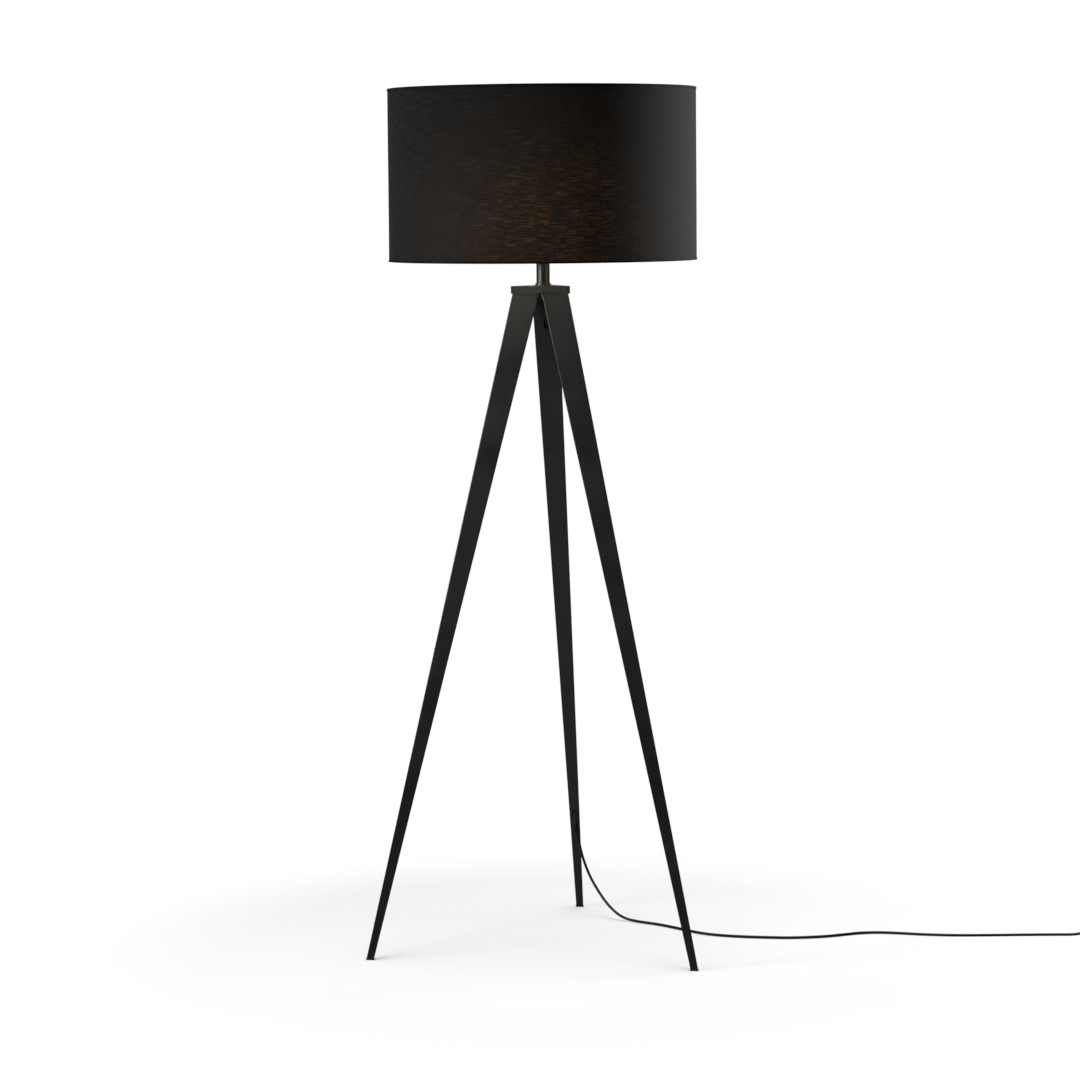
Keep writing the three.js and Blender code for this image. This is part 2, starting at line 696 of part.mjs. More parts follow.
function shade() {
  const top = shadeBottom + SHADE_HEIGHT;
  const fabricOuter = SHADE_RADIUS - BINDING_THICKNESS - GAP;
  const fabricInner = fabricOuter - FABRIC_THICKNESS;
  const linerOuter = fabricInner - GAP;
  const linerInner = linerOuter - LINER_THICKNESS;
  const wireCircle = linerInner - 2 * GAP - WIRE_RADIUS;
  const bindingInner = wireCircle - WIRE_RADIUS - GAP;
  const clothBottom = shadeBottom + BINDING_THICKNESS + GAP;
  const clothTop = top - BINDING_THICKNESS - GAP;
  const wireDepth = BINDING_THICKNESS + GAP + WIRE_RADIUS;

  // A U-shaped tape folded over the rim and its wire, open towards the drum's middle.
  const binding = (edge, inwards) => turned([
    [SHADE_RADIUS, edge],
    [SHADE_RADIUS, edge + inwards * BINDING_DEPTH],
    [SHADE_RADIUS - BINDING_THICKNESS, edge + inwards * BINDING_DEPTH],
    [SHADE_RADIUS - BINDING_THICKNESS, edge + inwards * BINDING_THICKNESS],
    [bindingInner, edge + inwards * BINDING_THICKNESS],
    [bindingInner, edge + inwards * BINDING_DEPTH],
    [bindingInner - BINDING_THICKNESS, edge + inwards * BINDING_DEPTH],
    [bindingInner - BINDING_THICKNESS, edge],
  ], SHADE_SEGMENTS);

  const wireRing = (height) => {
    const section = [];
    for (let i = 0; i < 6; i++) {
      const angle = (i * Math.PI) / 3;
      section.push([
        wireCircle + WIRE_RADIUS * Math.cos(angle), height + WIRE_RADIUS * Math.sin(angle),
      ]);
    }
    return turned(section, SHADE_SEGMENTS);
  };

  const group = new THREE.Group();
  group.add(
    named('shade_fabric', ring(
      fabricInner, fabricOuter, clothBottom, clothTop, SHADE_SEGMENTS,
    ), BLACK_FABRIC),
    named('shade_liner', ring(linerInner, linerOuter, clothBottom, clothTop, SHADE_SEGMENTS), LINER),
    named('shade_binding_top', binding(top, -1), BLACK_FABRIC),
    named('shade_binding_bottom', binding(shadeBottom, 1), BLACK_FABRIC),
    named('shade_wire_top', wireRing(top - wireDepth), WIRE),
    named('shade_wire_bottom', wireRing(shadeBottom + wireDepth), WIRE),
    named('shade_spider', spider(wireCircle, shadeBottom + wireDepth + WIRE_RADIUS + GAP), WIRE),
  );
  return group;
}

// Hub washer and three wire arms, which run out level and turn down to the lower wire ring.
function spider(wireCircle, armEnd) {
  const hubRadius = RING_NUT_RADIUS + HUB_MARGIN;
  const hub = ring(
    HOLDER_RADIUS + GAP, hubRadius,
    spiderHeight - HUB_THICKNESS / 2, spiderHeight + HUB_THICKNESS / 2, 28,
  );
  const corner = new THREE.Vector3(wireCircle, 0, spiderHeight);
  const before = new THREE.Vector3(wireCircle - ARM_BEND, 0, spiderHeight);
  const after = new THREE.Vector3(wireCircle, 0, spiderHeight - ARM_BEND);
  const start = new THREE.Vector3(RING_NUT_RADIUS + GAP, 0, spiderHeight);
  const end = new THREE.Vector3(wireCircle, 0, armEnd);
  const overlap = WIRE_RADIUS / 2; // the straight lengths run a little way into the bend
  const levelEnd = before.clone().setX(before.x + overlap);
  const dropStart = after.clone().setZ(after.z + overlap);
  const arms = [];
  for (let i = 0; i < ARM_COUNT; i++) {
    const angle = Math.PI / 6 + (i * 2 * Math.PI) / ARM_COUNT;
    const lengths = [
      cordAlong(new THREE.LineCurve3(start, levelEnd), 1, WIRE_RADIUS, 8),
      cordAlong(new THREE.QuadraticBezierCurve3(before, corner, after), 6, WIRE_RADIUS, 8),
      cordAlong(new THREE.LineCurve3(dropStart, end), 1, WIRE_RADIUS, 8),
    ];
    arms.push(...lengths.map((length) => length.rotateZ(angle)));
  }
  return join(hub, ...arms);
}

// ---------------------------------------------------------------- cord

// From the lampholder down the pipe, through the entry slot and down the back leg's middle to
// the exit slot, where it turns upright.
function routeInside() {
  const pipeBottom = LEG_TOP_HEIGHT - PIPE_BELOW_PLATE;
  const entryRadius = innerFaceRadius(entrySlotHeight);
  const exitRadius = innerFaceRadius(CORD_EXIT_HEIGHT);
  const bending = (share, drop) => [
    0, share * entryRadius, THREE.MathUtils.lerp(pipeBottom, entrySlotHeight, drop),
  ];
  const inLeg = (height, offset = 0) => [0, legCentre(height) + offset, height];
  return [
    [0, 0, holderBase + HOLDER_CORE_BOTTOM - GAP],
    [0, 0, plateTop + COLUMN_LENGTH / 2],
    [0, 0, LEG_TOP_HEIGHT + 4],
    [0, 0, pipeBottom],
    bending(0.12, 0.38),
    bending(0.48, 0.7),
    bending(0.96, 1.05),
    inLeg(entrySlotHeight - 17, -6.5),
    inLeg(entrySlotHeight - 39, -2),
    inLeg(entrySlotHeight - 68),
    inLeg((entrySlotHeight + CORD_EXIT_HEIGHT) / 2),
    inLeg(CORD_EXIT_HEIGHT + 71),
    inLeg(CORD_EXIT_HEIGHT + 41),
    inLeg(CORD_EXIT_HEIGHT + 24, -0.7),
    [0, exitRadius, CORD_EXIT_HEIGHT + 13],
    [0, exitRadius, CORD_EXIT_HEIGHT + GAP / 2],
  ];
}

// Out of the slot, down to the floor and over it to the foot switch.
const CORD_TO_SWITCH = [
  [0, 283.5, 178.8],
  [0, 283.5, 170],
  [0, 283.5, 161.5],
  [1.9, 282.2, 153.5],
  [5.4, 279.8, 144],
  [9.8, 276.8, 131.5],
  [16, 272.5, 110],
  [26, 265.5, 86],
  [36, 258.4, 68],
  [45.6, 251.8, 54.5],
  [56, 244.8, 41.5],
  [67.5, 237, 29.3],
  [80.5, 229, 18.4],
  [94.5, 221.3, 9.8],
  [110, 214.4, 4.6],
  [127, 207, 2.9],
  [152, 195, 2.6],
  [176, 183, 2.6],
  [202, 165.5, 2.6],
  [232, 143, 2.6],
  [263, 122, 2.6],
  [297, 109.5, 2.6],
  [345, 104, 2.6],
  [388, 104.6, 2.6],
  [426, 107.5, 2.6],
  [466, 118.5, 2.6],
  [497, 132.5, 2.6],
  [524, 150, 2.6],
  [551, 166.5, 2.6],
  [580, 174.5, 2.6],
  [612, 175, 2.6],
  [664, 170, 2.6],
  [724, 171.5, 2.6],
  [784, 181, 2.6],
  [844, 193, 2.6],
  [910, 205, 2.6],
  [932, 207.3, 3],
  [949, 209.2, 5.2],
  [966, 210, 7.4],
  [992, 210, 7.5],
];

const CORD_TO_COIL = [
  [1056, 210, 7.5],
  [1068, 210, 7.5],
  [1080, 210, 7.4],
  [1094, 212, 6.4],
  [1106, 218, 4.8],
  [1116, 229.5, 3.7],
  [1121.5, 245, 3.3],
  [1123.3, 264, 3.4],
  [1123.5, 284.9, 3.7],
];

const CORD_TO_PLUG = [
  [1084, 323.4, 8.6],
  [1072, 323.8, 7.9],
  [1060, 323.5, 7.2],
  [1046, 323, 6.9],
  [1033, 323, 6.9],
  [1019, 323, 6.9],
];

function coil() {
  const reach = COIL_TURN;
  const inner = COIL_RADIUS - reach;
  const outer = COIL_RADIUS + reach;
  const top = COIL_BOTTOM + 2 * COIL_TURN;
  const shoulder = COIL_TURN / 3;
  return turned([
    [inner + shoulder, COIL_BOTTOM],
    [outer - shoulder, COIL_BOTTOM],
    [outer, COIL_BOTTOM + shoulder],
    [outer, top - shoulder],
    [outer - shoulder, top],
    [inner + shoulder, top],
    [inner, top - shoulder],
    [inner, COIL_BOTTOM + shoulder],
  ], 32).translate(...COIL_CENTRE, 0);
}

// A band round the bundle of turns, which the coil rests on.
function coilTie() {
  const inner = COIL_RADIUS - COIL_TURN - 2.5 * GAP;
  const outer = COIL_RADIUS + COIL_TURN + GAP;
  const bottom = COIL_BOTTOM - GAP;
  const top = COIL_BOTTOM + 2 * COIL_TURN + GAP;
  const width = outer - inner;
  const height = top - bottom;
  const middle = (inner + outer) / 2;
  const t = TIE_THICKNESS;
  const band = cut(
    box(width + 2 * t, TIE_WIDTH, height + 2 * t, middle, 0, bottom - t),
    box(width, TIE_WIDTH + 2, height, middle, 0, bottom),
  );
  return band.rotateZ(THREE.MathUtils.degToRad(TIE_ANGLE)).translate(...COIL_CENTRE, 0);
}

// A tapered strain relief along +X from the face at x = 0, round a cord of the lamp's size.
function boot(segments = 16) {
  const bore = CORD_RADIUS + GAP;
  const body = turned([
    [bore, 0],
    [BOOT_ROOT_RADIUS, 0],
    [BOOT_ROOT_RADIUS, BOOT_ROOT_LENGTH],
    [BOOT_END_RADIUS, BOOT_LENGTH],
    [bore, BOOT_LENGTH],
  ], segments);
  return body.rotateY(Math.PI / 2);
}

function cord() {
  const sleeveTop = CORD_EXIT_HEIGHT + SLEEVE_LENGTH / 2;
  const sleeve = turned([
    [CORD_RADIUS + GAP, sleeveTop - SLEEVE_LENGTH],
    [SLEEVE_END_RADIUS, sleeveTop - SLEEVE_LENGTH],
    [SLEEVE_TOP_RADIUS, sleeveTop],
    [CORD_RADIUS + GAP, sleeveTop],
  ], 16).translate(0, innerFaceRadius(CORD_EXIT_HEIGHT), 0);

  const neck = slot(EXIT_SLOT_WIDTH - 2 * GAP, EXIT_SLOT_LENGTH - 2 * GAP);
  const flange = slot(EXIT_SLOT_WIDTH + 2 * GROMMET_LIP, EXIT_SLOT_LENGTH + 2 * GROMMET_LIP);
  const opening = slot(
    EXIT_SLOT_WIDTH - 2 * GAP - 2 * GROMMET_NECK_WALL,
    EXIT_SLOT_LENGTH - 2 * GAP - 2 * GROMMET_NECK_WALL,
  );
  const grommet = cut(
    join(prism(flange, GAP, GAP + GROMMET_FLANGE), prism(neck, -LEG_WALL - GAP, 2 * GAP)),
    prism(opening, -4 * LEG_WALL, 4 * LEG_WALL),
  );

  const group = new THREE.Group();
  group.add(
    named('cord_inside', cordAlong(curveThrough(routeInside()), 72), CORD),
    named('cord_grommet', onInnerFace(grommet, EXIT_SLOT_HEIGHT), RUBBER),
    named('cord_sleeve', sleeve, RUBBER),
    named('cord_to_switch', cordAlong(curveThrough(CORD_TO_SWITCH), 64), CORD),
    named('cord_to_coil', cordAlong(curveThrough(CORD_TO_COIL), 10), CORD),
    named('cord_coil', coil(), CORD),
    named('cord_tie', coilTie(), RUBBER),
    named('cord_to_plug', cordAlong(curveThrough(CORD_TO_PLUG), 6), CORD),
  );
  return group;
}

// ---------------------------------------------------------------- foot switch

function footSwitch() {
  const floor = SWITCH_WALL;
  const inner = SWITCH_RADIUS - SWITCH_WALL;
  const coverBottom = SWITCH_BASE_HEIGHT + GAP;
  const holeRadius = BUTTON_RADIUS + BUTTON_CLEARANCE;
  const shoulder = SWITCH_HEIGHT - SWITCH_SHOULDER_DEPTH;
  const rimBottom = SWITCH_HEIGHT - SWITCH_RIM_DEPTH;
  const cordHoles = [-1, 1].map((side) =>
    cylinder(CORD_RADIUS + GAP, 0, CORD_HOLE_DEPTH, 12).rotateY((side * Math.PI) / 2)
      .translate(side * (SWITCH_RADIUS - 2 * CORD_HOLE_DEPTH / 3), 0, SWITCH_CORD_HEIGHT));
  const base = turned([
    [0, 0],
    [SWITCH_RADIUS - SWITCH_EDGE, 0],
    [SWITCH_RADIUS, SWITCH_EDGE],
    [SWITCH_RADIUS, SWITCH_BASE_HEIGHT],
    [inner, SWITCH_BASE_HEIGHT],
    [inner, floor],
    [0, floor],
  ], 28);
  const cover = turned([
    [inner, coverBottom],
    [SWITCH_RADIUS, coverBottom],
    [SWITCH_RADIUS, SWITCH_UPRIGHT],
    [SWITCH_RADIUS - SWITCH_SHOULDER_INSET, shoulder],
    [SWITCH_RADIUS - SWITCH_TOP_INSET, SWITCH_HEIGHT - SWITCH_EDGE],
    [holeRadius + SWITCH_RIM_WIDTH, SWITCH_HEIGHT],
    [holeRadius, SWITCH_HEIGHT],
    [holeRadius, rimBottom],
    [SWITCH_RADIUS - SWITCH_TOP_INSET - SWITCH_EDGE, rimBottom - SWITCH_EDGE],
    [inner - SWITCH_SHOULDER_INSET, shoulder - SWITCH_EDGE],
    [inner, SWITCH_UPRIGHT],
  ], 28);

  const [blockWidth, blockDepth, blockHeight] = CONTACT_BLOCK;
  const [edgeInwards, edgeDown] = BUTTON_EDGE;
  const blockTop = floor + GAP + blockHeight;
  const flangeTop = rimBottom - GAP;
  const skirtBottom = flangeTop - BUTTON_FLANGE_THICKNESS;
  const buttonTop = SWITCH_HEIGHT + BUTTON_PROUD;
  const ceiling = buttonTop - BUTTON_CEILING;
  const stemBottom = blockTop + BUTTON_TRAVEL + GAP;
  const button = turned([
    [0, stemBottom],
    [STEM_RADIUS, stemBottom],
    [STEM_RADIUS, ceiling],
    [BUTTON_RADIUS - BUTTON_WALL, ceiling],
    [BUTTON_RADIUS - BUTTON_WALL, skirtBottom],
    [BUTTON_RADIUS + BUTTON_FLANGE, skirtBottom],
    [BUTTON_RADIUS + BUTTON_FLANGE, flangeTop],
    [BUTTON_RADIUS, flangeTop],
    [BUTTON_RADIUS, buttonTop - BUTTON_CROWN - edgeDown],
    [BUTTON_RADIUS - edgeInwards, buttonTop - BUTTON_CROWN],
    [0, buttonTop],
  ], 24);

  const springBottom = blockTop + GAP + SPRING_WIRE;
  const springTop = ceiling - GAP - SPRING_WIRE;
  class Helix extends THREE.Curve {
    getPoint(t) {
      const angle = 2 * Math.PI * SPRING_TURNS * t;
      const height = THREE.MathUtils.lerp(springBottom, springTop, t);
      return new THREE.Vector3(
        SPRING_RADIUS * Math.cos(angle), SPRING_RADIUS * Math.sin(angle), height,
      );
    }
  }
  const bootFace = SWITCH_RADIUS + GAP;
  const bootIn = boot().rotateZ(Math.PI).translate(-bootFace, 0, SWITCH_CORD_HEIGHT);
  const bootOut = boot().translate(bootFace, 0, SWITCH_CORD_HEIGHT);

  const group = new THREE.Group();
  group.position.set(...SWITCH_CENTRE, 0);
  group.add(
    named('switch_base', cut(base, ...cordHoles), BLACK_PLASTIC),
    named('switch_cover', cut(cover, ...cordHoles), BLACK_PLASTIC),
    named('switch_button', button, BLACK_PLASTIC),
    named('switch_spring', cordAlong(new Helix(), 36, SPRING_WIRE, 5), STEEL),
    named('switch_contact_block', box(
      blockWidth, blockDepth, blockHeight, 0, 0, floor + GAP,
    ), WHITE_PLASTIC),
    named('switch_boot_in', bootIn, RUBBER),
    named('switch_boot_out', bootOut, RUBBER),
  );
  return group;
}

// ---------------------------------------------------------------- plug

// A flat two-pin plug lying on the floor, its pins along -X.
function plug() {
  const middle = PLUG_THICKNESS / 2;
  const half = PLUG_WIDTH / 2;
  const tail = PLUG_TAIL.map(([back, width]) => [-back, Math.min(width, half)]);
  const side = [...tail, [PLUG_NOSE - PLUG_LENGTH, half], [-PLUG_LENGTH, half - PLUG_NOSE]];
  const mirrored = side.map(([x, y]) => [x, -y]).reverse();
  const outline = new THREE.Shape([...side, ...mirrored].map(([x, y]) => new THREE.Vector2(x, y)));
  const body = new THREE.ExtrudeGeometry(outline, {
    depth: PLUG_THICKNESS - 2 * PLUG_EDGE,
    bevelThickness: PLUG_EDGE,
    bevelSize: PLUG_EDGE,
    bevelOffset: -PLUG_EDGE,
    bevelSegments: 2,
    curveSegments: 2,
  }).translate(0, 0, PLUG_EDGE);

  const pinStart = -PLUG_LENGTH + PIN_ROOT;
  const pinEnd = PIN_LENGTH + PIN_ROOT;
  const [tipInwards, tipAlong] = PIN_TIP;
  const pins = [-1, 1].map((row) => turned([
    [0, 0],
    [PIN_RADIUS, 0],
    [PIN_RADIUS, pinEnd - tipAlong],
    [PIN_RADIUS - tipInwards, pinEnd],
    [0, pinEnd],
  ], 12).rotateY(-Math.PI / 2).translate(pinStart, (row * PIN_SPACING) / 2, middle));
  const pinHoles = [-1, 1].map((row) =>
    cylinder(PIN_RADIUS + GAP, 0, PLUG_LENGTH, 12).rotateY(-Math.PI / 2)
      .translate(pinStart + GAP, (row * PIN_SPACING) / 2, middle));
  const bootBore = cylinder(CORD_RADIUS + GAP, -PLUG_BORE_DEPTH, PLUG_BORE_DEPTH, 12)
    .rotateY(Math.PI / 2).translate(0, 0, middle);

  const group = new THREE.Group();
  group.position.set(PLUG_BACK, PLUG_Y, 0);
  group.add(
    named('plug_body', cut(body, ...pinHoles, bootBore), BLACK_PLASTIC),
    named('plug_boot', boot().translate(GAP, 0, middle), RUBBER),
    named('plug_pin_front', pins[0], NICKEL),
    named('plug_pin_back', pins[1], NICKEL),
  );
  return group;
}

// ---------------------------------------------------------------- assembly

const lamp = new THREE.Group();
lamp.position.y = axisY;
lamp.add(legs(), column(), lampholder(), bulb(), shade(), cord(), footSwitch(), plug());

const root = new THREE.Group();
root.add(lamp);

export default root;
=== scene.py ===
"""Looks of a tripod floor lamp with a drum shade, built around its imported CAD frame.

Metres, +Z up, in the frame of the CAD model. Places and sizes come from the boxes of the CAD
nodes where they can, and the routes of the cords are given below.
"""

import math

import bmesh
import bpy
from mathutils import Matrix, Vector


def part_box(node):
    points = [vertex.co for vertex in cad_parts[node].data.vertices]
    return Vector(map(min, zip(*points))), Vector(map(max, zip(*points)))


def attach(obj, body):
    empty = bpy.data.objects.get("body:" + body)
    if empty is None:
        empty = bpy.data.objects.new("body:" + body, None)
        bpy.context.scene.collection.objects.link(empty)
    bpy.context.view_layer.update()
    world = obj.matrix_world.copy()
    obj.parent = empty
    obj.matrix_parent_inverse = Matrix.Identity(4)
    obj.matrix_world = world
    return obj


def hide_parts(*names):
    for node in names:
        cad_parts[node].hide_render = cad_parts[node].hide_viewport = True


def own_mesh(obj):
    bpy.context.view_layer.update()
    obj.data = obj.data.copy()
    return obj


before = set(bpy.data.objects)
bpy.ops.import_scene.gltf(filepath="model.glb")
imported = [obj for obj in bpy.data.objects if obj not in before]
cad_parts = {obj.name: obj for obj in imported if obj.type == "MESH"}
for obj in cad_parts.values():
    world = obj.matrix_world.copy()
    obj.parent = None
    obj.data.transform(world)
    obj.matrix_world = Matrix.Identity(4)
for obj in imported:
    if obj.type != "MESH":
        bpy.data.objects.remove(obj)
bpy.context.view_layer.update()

# ------------------------------ places taken from the frame

LAMP = "lamp"
BUTTON = "button"


def box_middle(node):
    low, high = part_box(node)
    return (low + high) / 2


def upright_axis(node):
    """Where a node's upright axis meets the floor."""
    middle = box_middle(node)
    return Vector((middle.x, middle.y, 0))


AXIS = upright_axis("column_tube")
SWITCH_AXIS = upright_axis("switch_base")
BULB_CENTRE_HEIGHT = box_middle("bulb_globe").z


def outer_radius(node):
    low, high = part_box(node)
    return (high.x - low.x) / 2


def heights(node):
    low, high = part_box(node)
    return low.z, high.z


# ------------------------------ camera

CAMERA_DISTANCE = 6.1287  # from the lamp's axis, level
CAMERA_HEIGHT = 1.3604
CAMERA_AZIMUTH = math.radians(10.48)
CAMERA_HEADING = math.radians(0.0745)
CAMERA_PITCH = math.radians(4.32)
CAMERA_ROLL = math.radians(0.462)
CAMERA_SENSOR = 36  # mm
CAMERA_LENS = 114.4  # mm
CAMERA_SHIFT = -0.0833
CAMERA_FAR_CLIP = 100


def add_camera():
    data = bpy.data.cameras.new("camera")
    data.sensor_width = CAMERA_SENSOR
    data.lens = CAMERA_LENS
    data.shift_y = CAMERA_SHIFT
    data.clip_end = CAMERA_FAR_CLIP
    camera = bpy.data.objects.new("camera", data)
    bpy.context.scene.collection.objects.link(camera)
    camera.matrix_world = (
        Matrix.Translation(AXIS)
        @ Matrix.Rotation(CAMERA_AZIMUTH, 4, "Z")
        @ Matrix.Translation((0, -CAMERA_DISTANCE, CAMERA_HEIGHT))
        @ Matrix.Rotation(CAMERA_HEADING, 4, "Z")
        @ Matrix.Rotation(math.pi / 2 - CAMERA_PITCH, 4, "X")
        @ Matrix.Rotation(-CAMERA_ROLL, 4, "Z")
    )
    bpy.context.scene.camera = camera


add_camera()

# ------------------------------ cord routes

CORD_DIAMETER = 0.005
CORD_STEP = 0.004  # between points of a route
TIGHT_CORD_STEP = 0.003
CORD_EXIT = (0, 0.2835, 0.1788)
SWITCH_OUTLET = (1.056, 0.210, 0.0075)

# The routes are points from the lamp's axis. This one leaves the slot, comes down to the floor
# and runs over it to the foot switch.
CORD_TO_SWITCH = [
    CORD_EXIT, (0, 0.2835, 0.170), (0, 0.2835, 0.1615), (0.0019, 0.2822, 0.1535),
    (0.0054, 0.2798, 0.144), (0.0098, 0.2768, 0.1315), (0.016, 0.2725, 0.110),
    (0.026, 0.2655, 0.086), (0.036, 0.2584, 0.068), (0.0456, 0.2518, 0.0545),
    (0.056, 0.2448, 0.0415), (0.0675, 0.237, 0.0293), (0.0805, 0.229, 0.0184),
    (0.0945, 0.2213, 0.0098), (0.110, 0.2144, 0.0046), (0.127, 0.207, 0.0029),
    (0.152, 0.195, 0.0026), (0.176, 0.183, 0.0026), (0.202, 0.1655, 0.0026), (0.232, 0.143, 0.0026),
    (0.263, 0.122, 0.0026), (0.297, 0.1095, 0.0026), (0.345, 0.104, 0.0026),
    (0.388, 0.1046, 0.0026), (0.426, 0.1075, 0.0026), (0.466, 0.1185, 0.0026),
    (0.497, 0.1325, 0.0026), (0.524, 0.150, 0.0026), (0.551, 0.1665, 0.0026),
    (0.580, 0.1745, 0.0026), (0.612, 0.175, 0.0026), (0.664, 0.170, 0.0026),
    (0.724, 0.1715, 0.0026), (0.784, 0.181, 0.0026), (0.844, 0.193, 0.0026), (0.910, 0.205, 0.0026),
    (0.932, 0.2073, 0.003), (0.949, 0.2092, 0.0052), (0.966, 0.210, 0.0074), (0.992, 0.210, 0.0075),
]

CORD_TO_COIL = [
    SWITCH_OUTLET, (1.068, 0.210, 0.0075), (1.080, 0.210, 0.0074), (1.094, 0.212, 0.0064),
    (1.106, 0.218, 0.0048), (1.116, 0.2295, 0.0037), (1.1215, 0.245, 0.0033),
    (1.1233, 0.264, 0.0034), (1.1235, 0.2849, 0.0037),
]

CORD_TO_PLUG = [
    (1.084, 0.3234, 0.0086), (1.072, 0.3238, 0.0079), (1.060, 0.3235, 0.0072),
    (1.046, 0.323, 0.0069), (1.033, 0.323, 0.0069), (1.019, 0.323, 0.0069),
]

COIL_CENTRE = (1.088, 0.288)
# Angle turned since the cord met the coil, in degrees, with the turn's radius and height there.
COIL_STATIONS = [
    (0, 0.0356, 0.0037),
    (75, 0.0301, 0.0040),
    (300, 0.0301, 0.0040),
    (360, 0.0249, 0.0040),
    (630, 0.0249, 0.0040),
    (700, 0.0249, 0.0092),
    (880, 0.0249, 0.0092),
    (945, 0.0301, 0.0092),
    (1100, 0.0301, 0.0092),
    (1181, 0.0356, 0.0086),
]
COIL_START = math.radians(-5)
COIL_STEP = 15  # degrees between points


def smooth_share(share):
    """A share from 0 to 1 that starts and ends slowly."""
    return share * share * (3 - 2 * share)


def coil_points():
    """The turns of the coil as one run of points, its two ends left out."""
    points = []
    for angle in range(COIL_STEP, COIL_STATIONS[-1][0], COIL_STEP):
        for (a, r, z), (b, next_r, next_z) in zip(COIL_STATIONS, COIL_STATIONS[1:]):
            if a <= angle <= b:
                share = smooth_share((angle - a) / (b - a))
                radius = r + (next_r - r) * share
                height = z + (next_z - z) * share
        turned = COIL_START + math.radians(angle)
        points.append((
            COIL_CENTRE[0] + radius * math.cos(turned),
            COIL_CENTRE[1] + radius * math.sin(turned),
            height,
        ))
    return points


def mixed(first, second, start, end, t):
    """Between first and second, as t is between start and end."""
    return first * ((end - t) / (end - start)) + second * ((t - start) / (end - start))


def curve_through(points, step):
    """Points a step apart on the centripetal Catmull-Rom curve through the given ones."""
    given = [Vector(p) for p in points]
    ends = [2 * given[0] - given[1], *given, 2 * given[-1] - given[-2]]
    found = []
    for p0, p1, p2, p3 in zip(ends, ends[1:], ends[2:], ends[3:]):
        t1 = math.sqrt((p1 - p0).length)
        t2 = t1 + math.sqrt((p2 - p1).length)
        t3 = t2 + math.sqrt((p3 - p2).length)
        count = max(2, round((p2 - p1).length / step))
        for i in range(count):
            t = t1 + (t2 - t1) * i / count
            a1 = mixed(p0, p1, 0, t1, t)
            a2 = mixed(p1, p2, t1, t2, t)
            a3 = mixed(p2, p3, t2, t3, t)
            found.append(mixed(mixed(a1, a2, 0, t2, t), mixed(a2, a3, t1, t3, t), t1, t2, t))
    found.append(given[-1])
    return found


# ------------------------------ node helpers for materials


class Shader:
    """A material with one Principled shader, and short ways to feed it."""

    def __init__(self, name, **sockets):
        self.material = bpy.data.materials.new(name)
        self.material.use_nodes = True
        self.nodes = self.material.node_tree.nodes
        self.links = self.material.node_tree.links
        self.principled = self.nodes["Principled BSDF"]
        for socket, value in sockets.items():
            self.principled.inputs[socket.replace("_", " ")].default_value = value

    def add(self, kind, **settings):
        node = self.nodes.new(kind)
        for name, value in settings.items():
            setattr(node, name, value)
        return node

    def link(self, source, target):
        self.links.new(source, target)

    def value(self, operation, first, second=None):
        """A sum on sockets or plain numbers."""
        node = self.add("ShaderNodeMath", operation=operation)
        for socket, given in zip(node.inputs, (first, second)):
            if given is None:
                continue
            if isinstance(given, (int, float)):
                socket.default_value = given
            else:
                self.link(given, socket)
        return node.outputs[0]

    def place(self):
        """The piece's own coordinates, in metres."""
        return self.add("ShaderNodeTexCoord").outputs["Object"]

    def stretched(self, vector, scale):
        node = self.add("ShaderNodeMapping")
        node.inputs["Scale"].default_value = scale
        self.link(vector, node.inputs["Vector"])
        return node.outputs[0]

    def noise(self, vector, scale=1.0, detail=2.0, roughness=0.5):
        node = self.add("ShaderNodeTexNoise")
        node.inputs["Scale"].default_value = scale
        node.inputs["Detail"].default_value = detail
        node.inputs["Roughness"].default_value = roughness
        self.link(vector, node.inputs["Vector"])
        return node.outputs["Fac"]

    def between(self, value, low, high, from_low=0.0, from_high=1.0):
        """The value moved from one range to another."""
        node = self.add("ShaderNodeMapRange")
        node.inputs["From Min"].default_value = from_low
        node.inputs["From Max"].default_value = from_high
        node.inputs["To Min"].default_value = low
        node.inputs["To Max"].default_value = high
        self.link(value, node.inputs["Value"])
        return node.outputs[0]

    def ramp(self, value, *stops):
        """Colours blended between stops of (position, colour)."""
        node = self.add("ShaderNodeValToRGB")
        elements = node.color_ramp.elements
        while len(elements) < len(stops):
            elements.new(0.5)
        for element, (position, colour) in zip(elements, stops):
            element.position = position
            element.color = (*colour, 1)
        self.link(value, node.inputs["Fac"])
        return node.outputs["Color"]

    def bump(self, value, distance):
        node = self.add("ShaderNodeBump")
        node.inputs["Distance"].default_value = distance
        node.inputs["Strength"].default_value = 1.0
        self.link(value, node.inputs["Height"])
        self.link(node.outputs[0], self.principled.inputs["Normal"])

    def feed(self, socket, value):
        self.link(value, self.principled.inputs[socket])


def grey(level):
    return (level, level, level)


def colour(r, g, b):
    return (r, g, b, 1)


# ------------------------------ materials


NOISE_LOW, NOISE_HIGH = 0.3, 0.7  # nearly all of a noise lies between these
CLOUDY = {"detail": 4, "roughness": 0.6}


def satin_paint():
    """Powder coat: fine orange peel, and faint rubbed patches that are a little glossier."""
    s = Shader("satin_black_paint", Specular_IOR_Level=0.42)
    place = s.place()
    rubbed = s.noise(place, scale=14, **CLOUDY)
    s.feed("Base Color", s.ramp(rubbed, (NOISE_LOW, grey(0.006)), (0.75, grey(0.009))))
    s.feed("Roughness", s.between(rubbed, 0.34, 0.44, NOISE_LOW, NOISE_HIGH))
    s.bump(s.noise(place, scale=900), distance=0.000015)
    return s.material


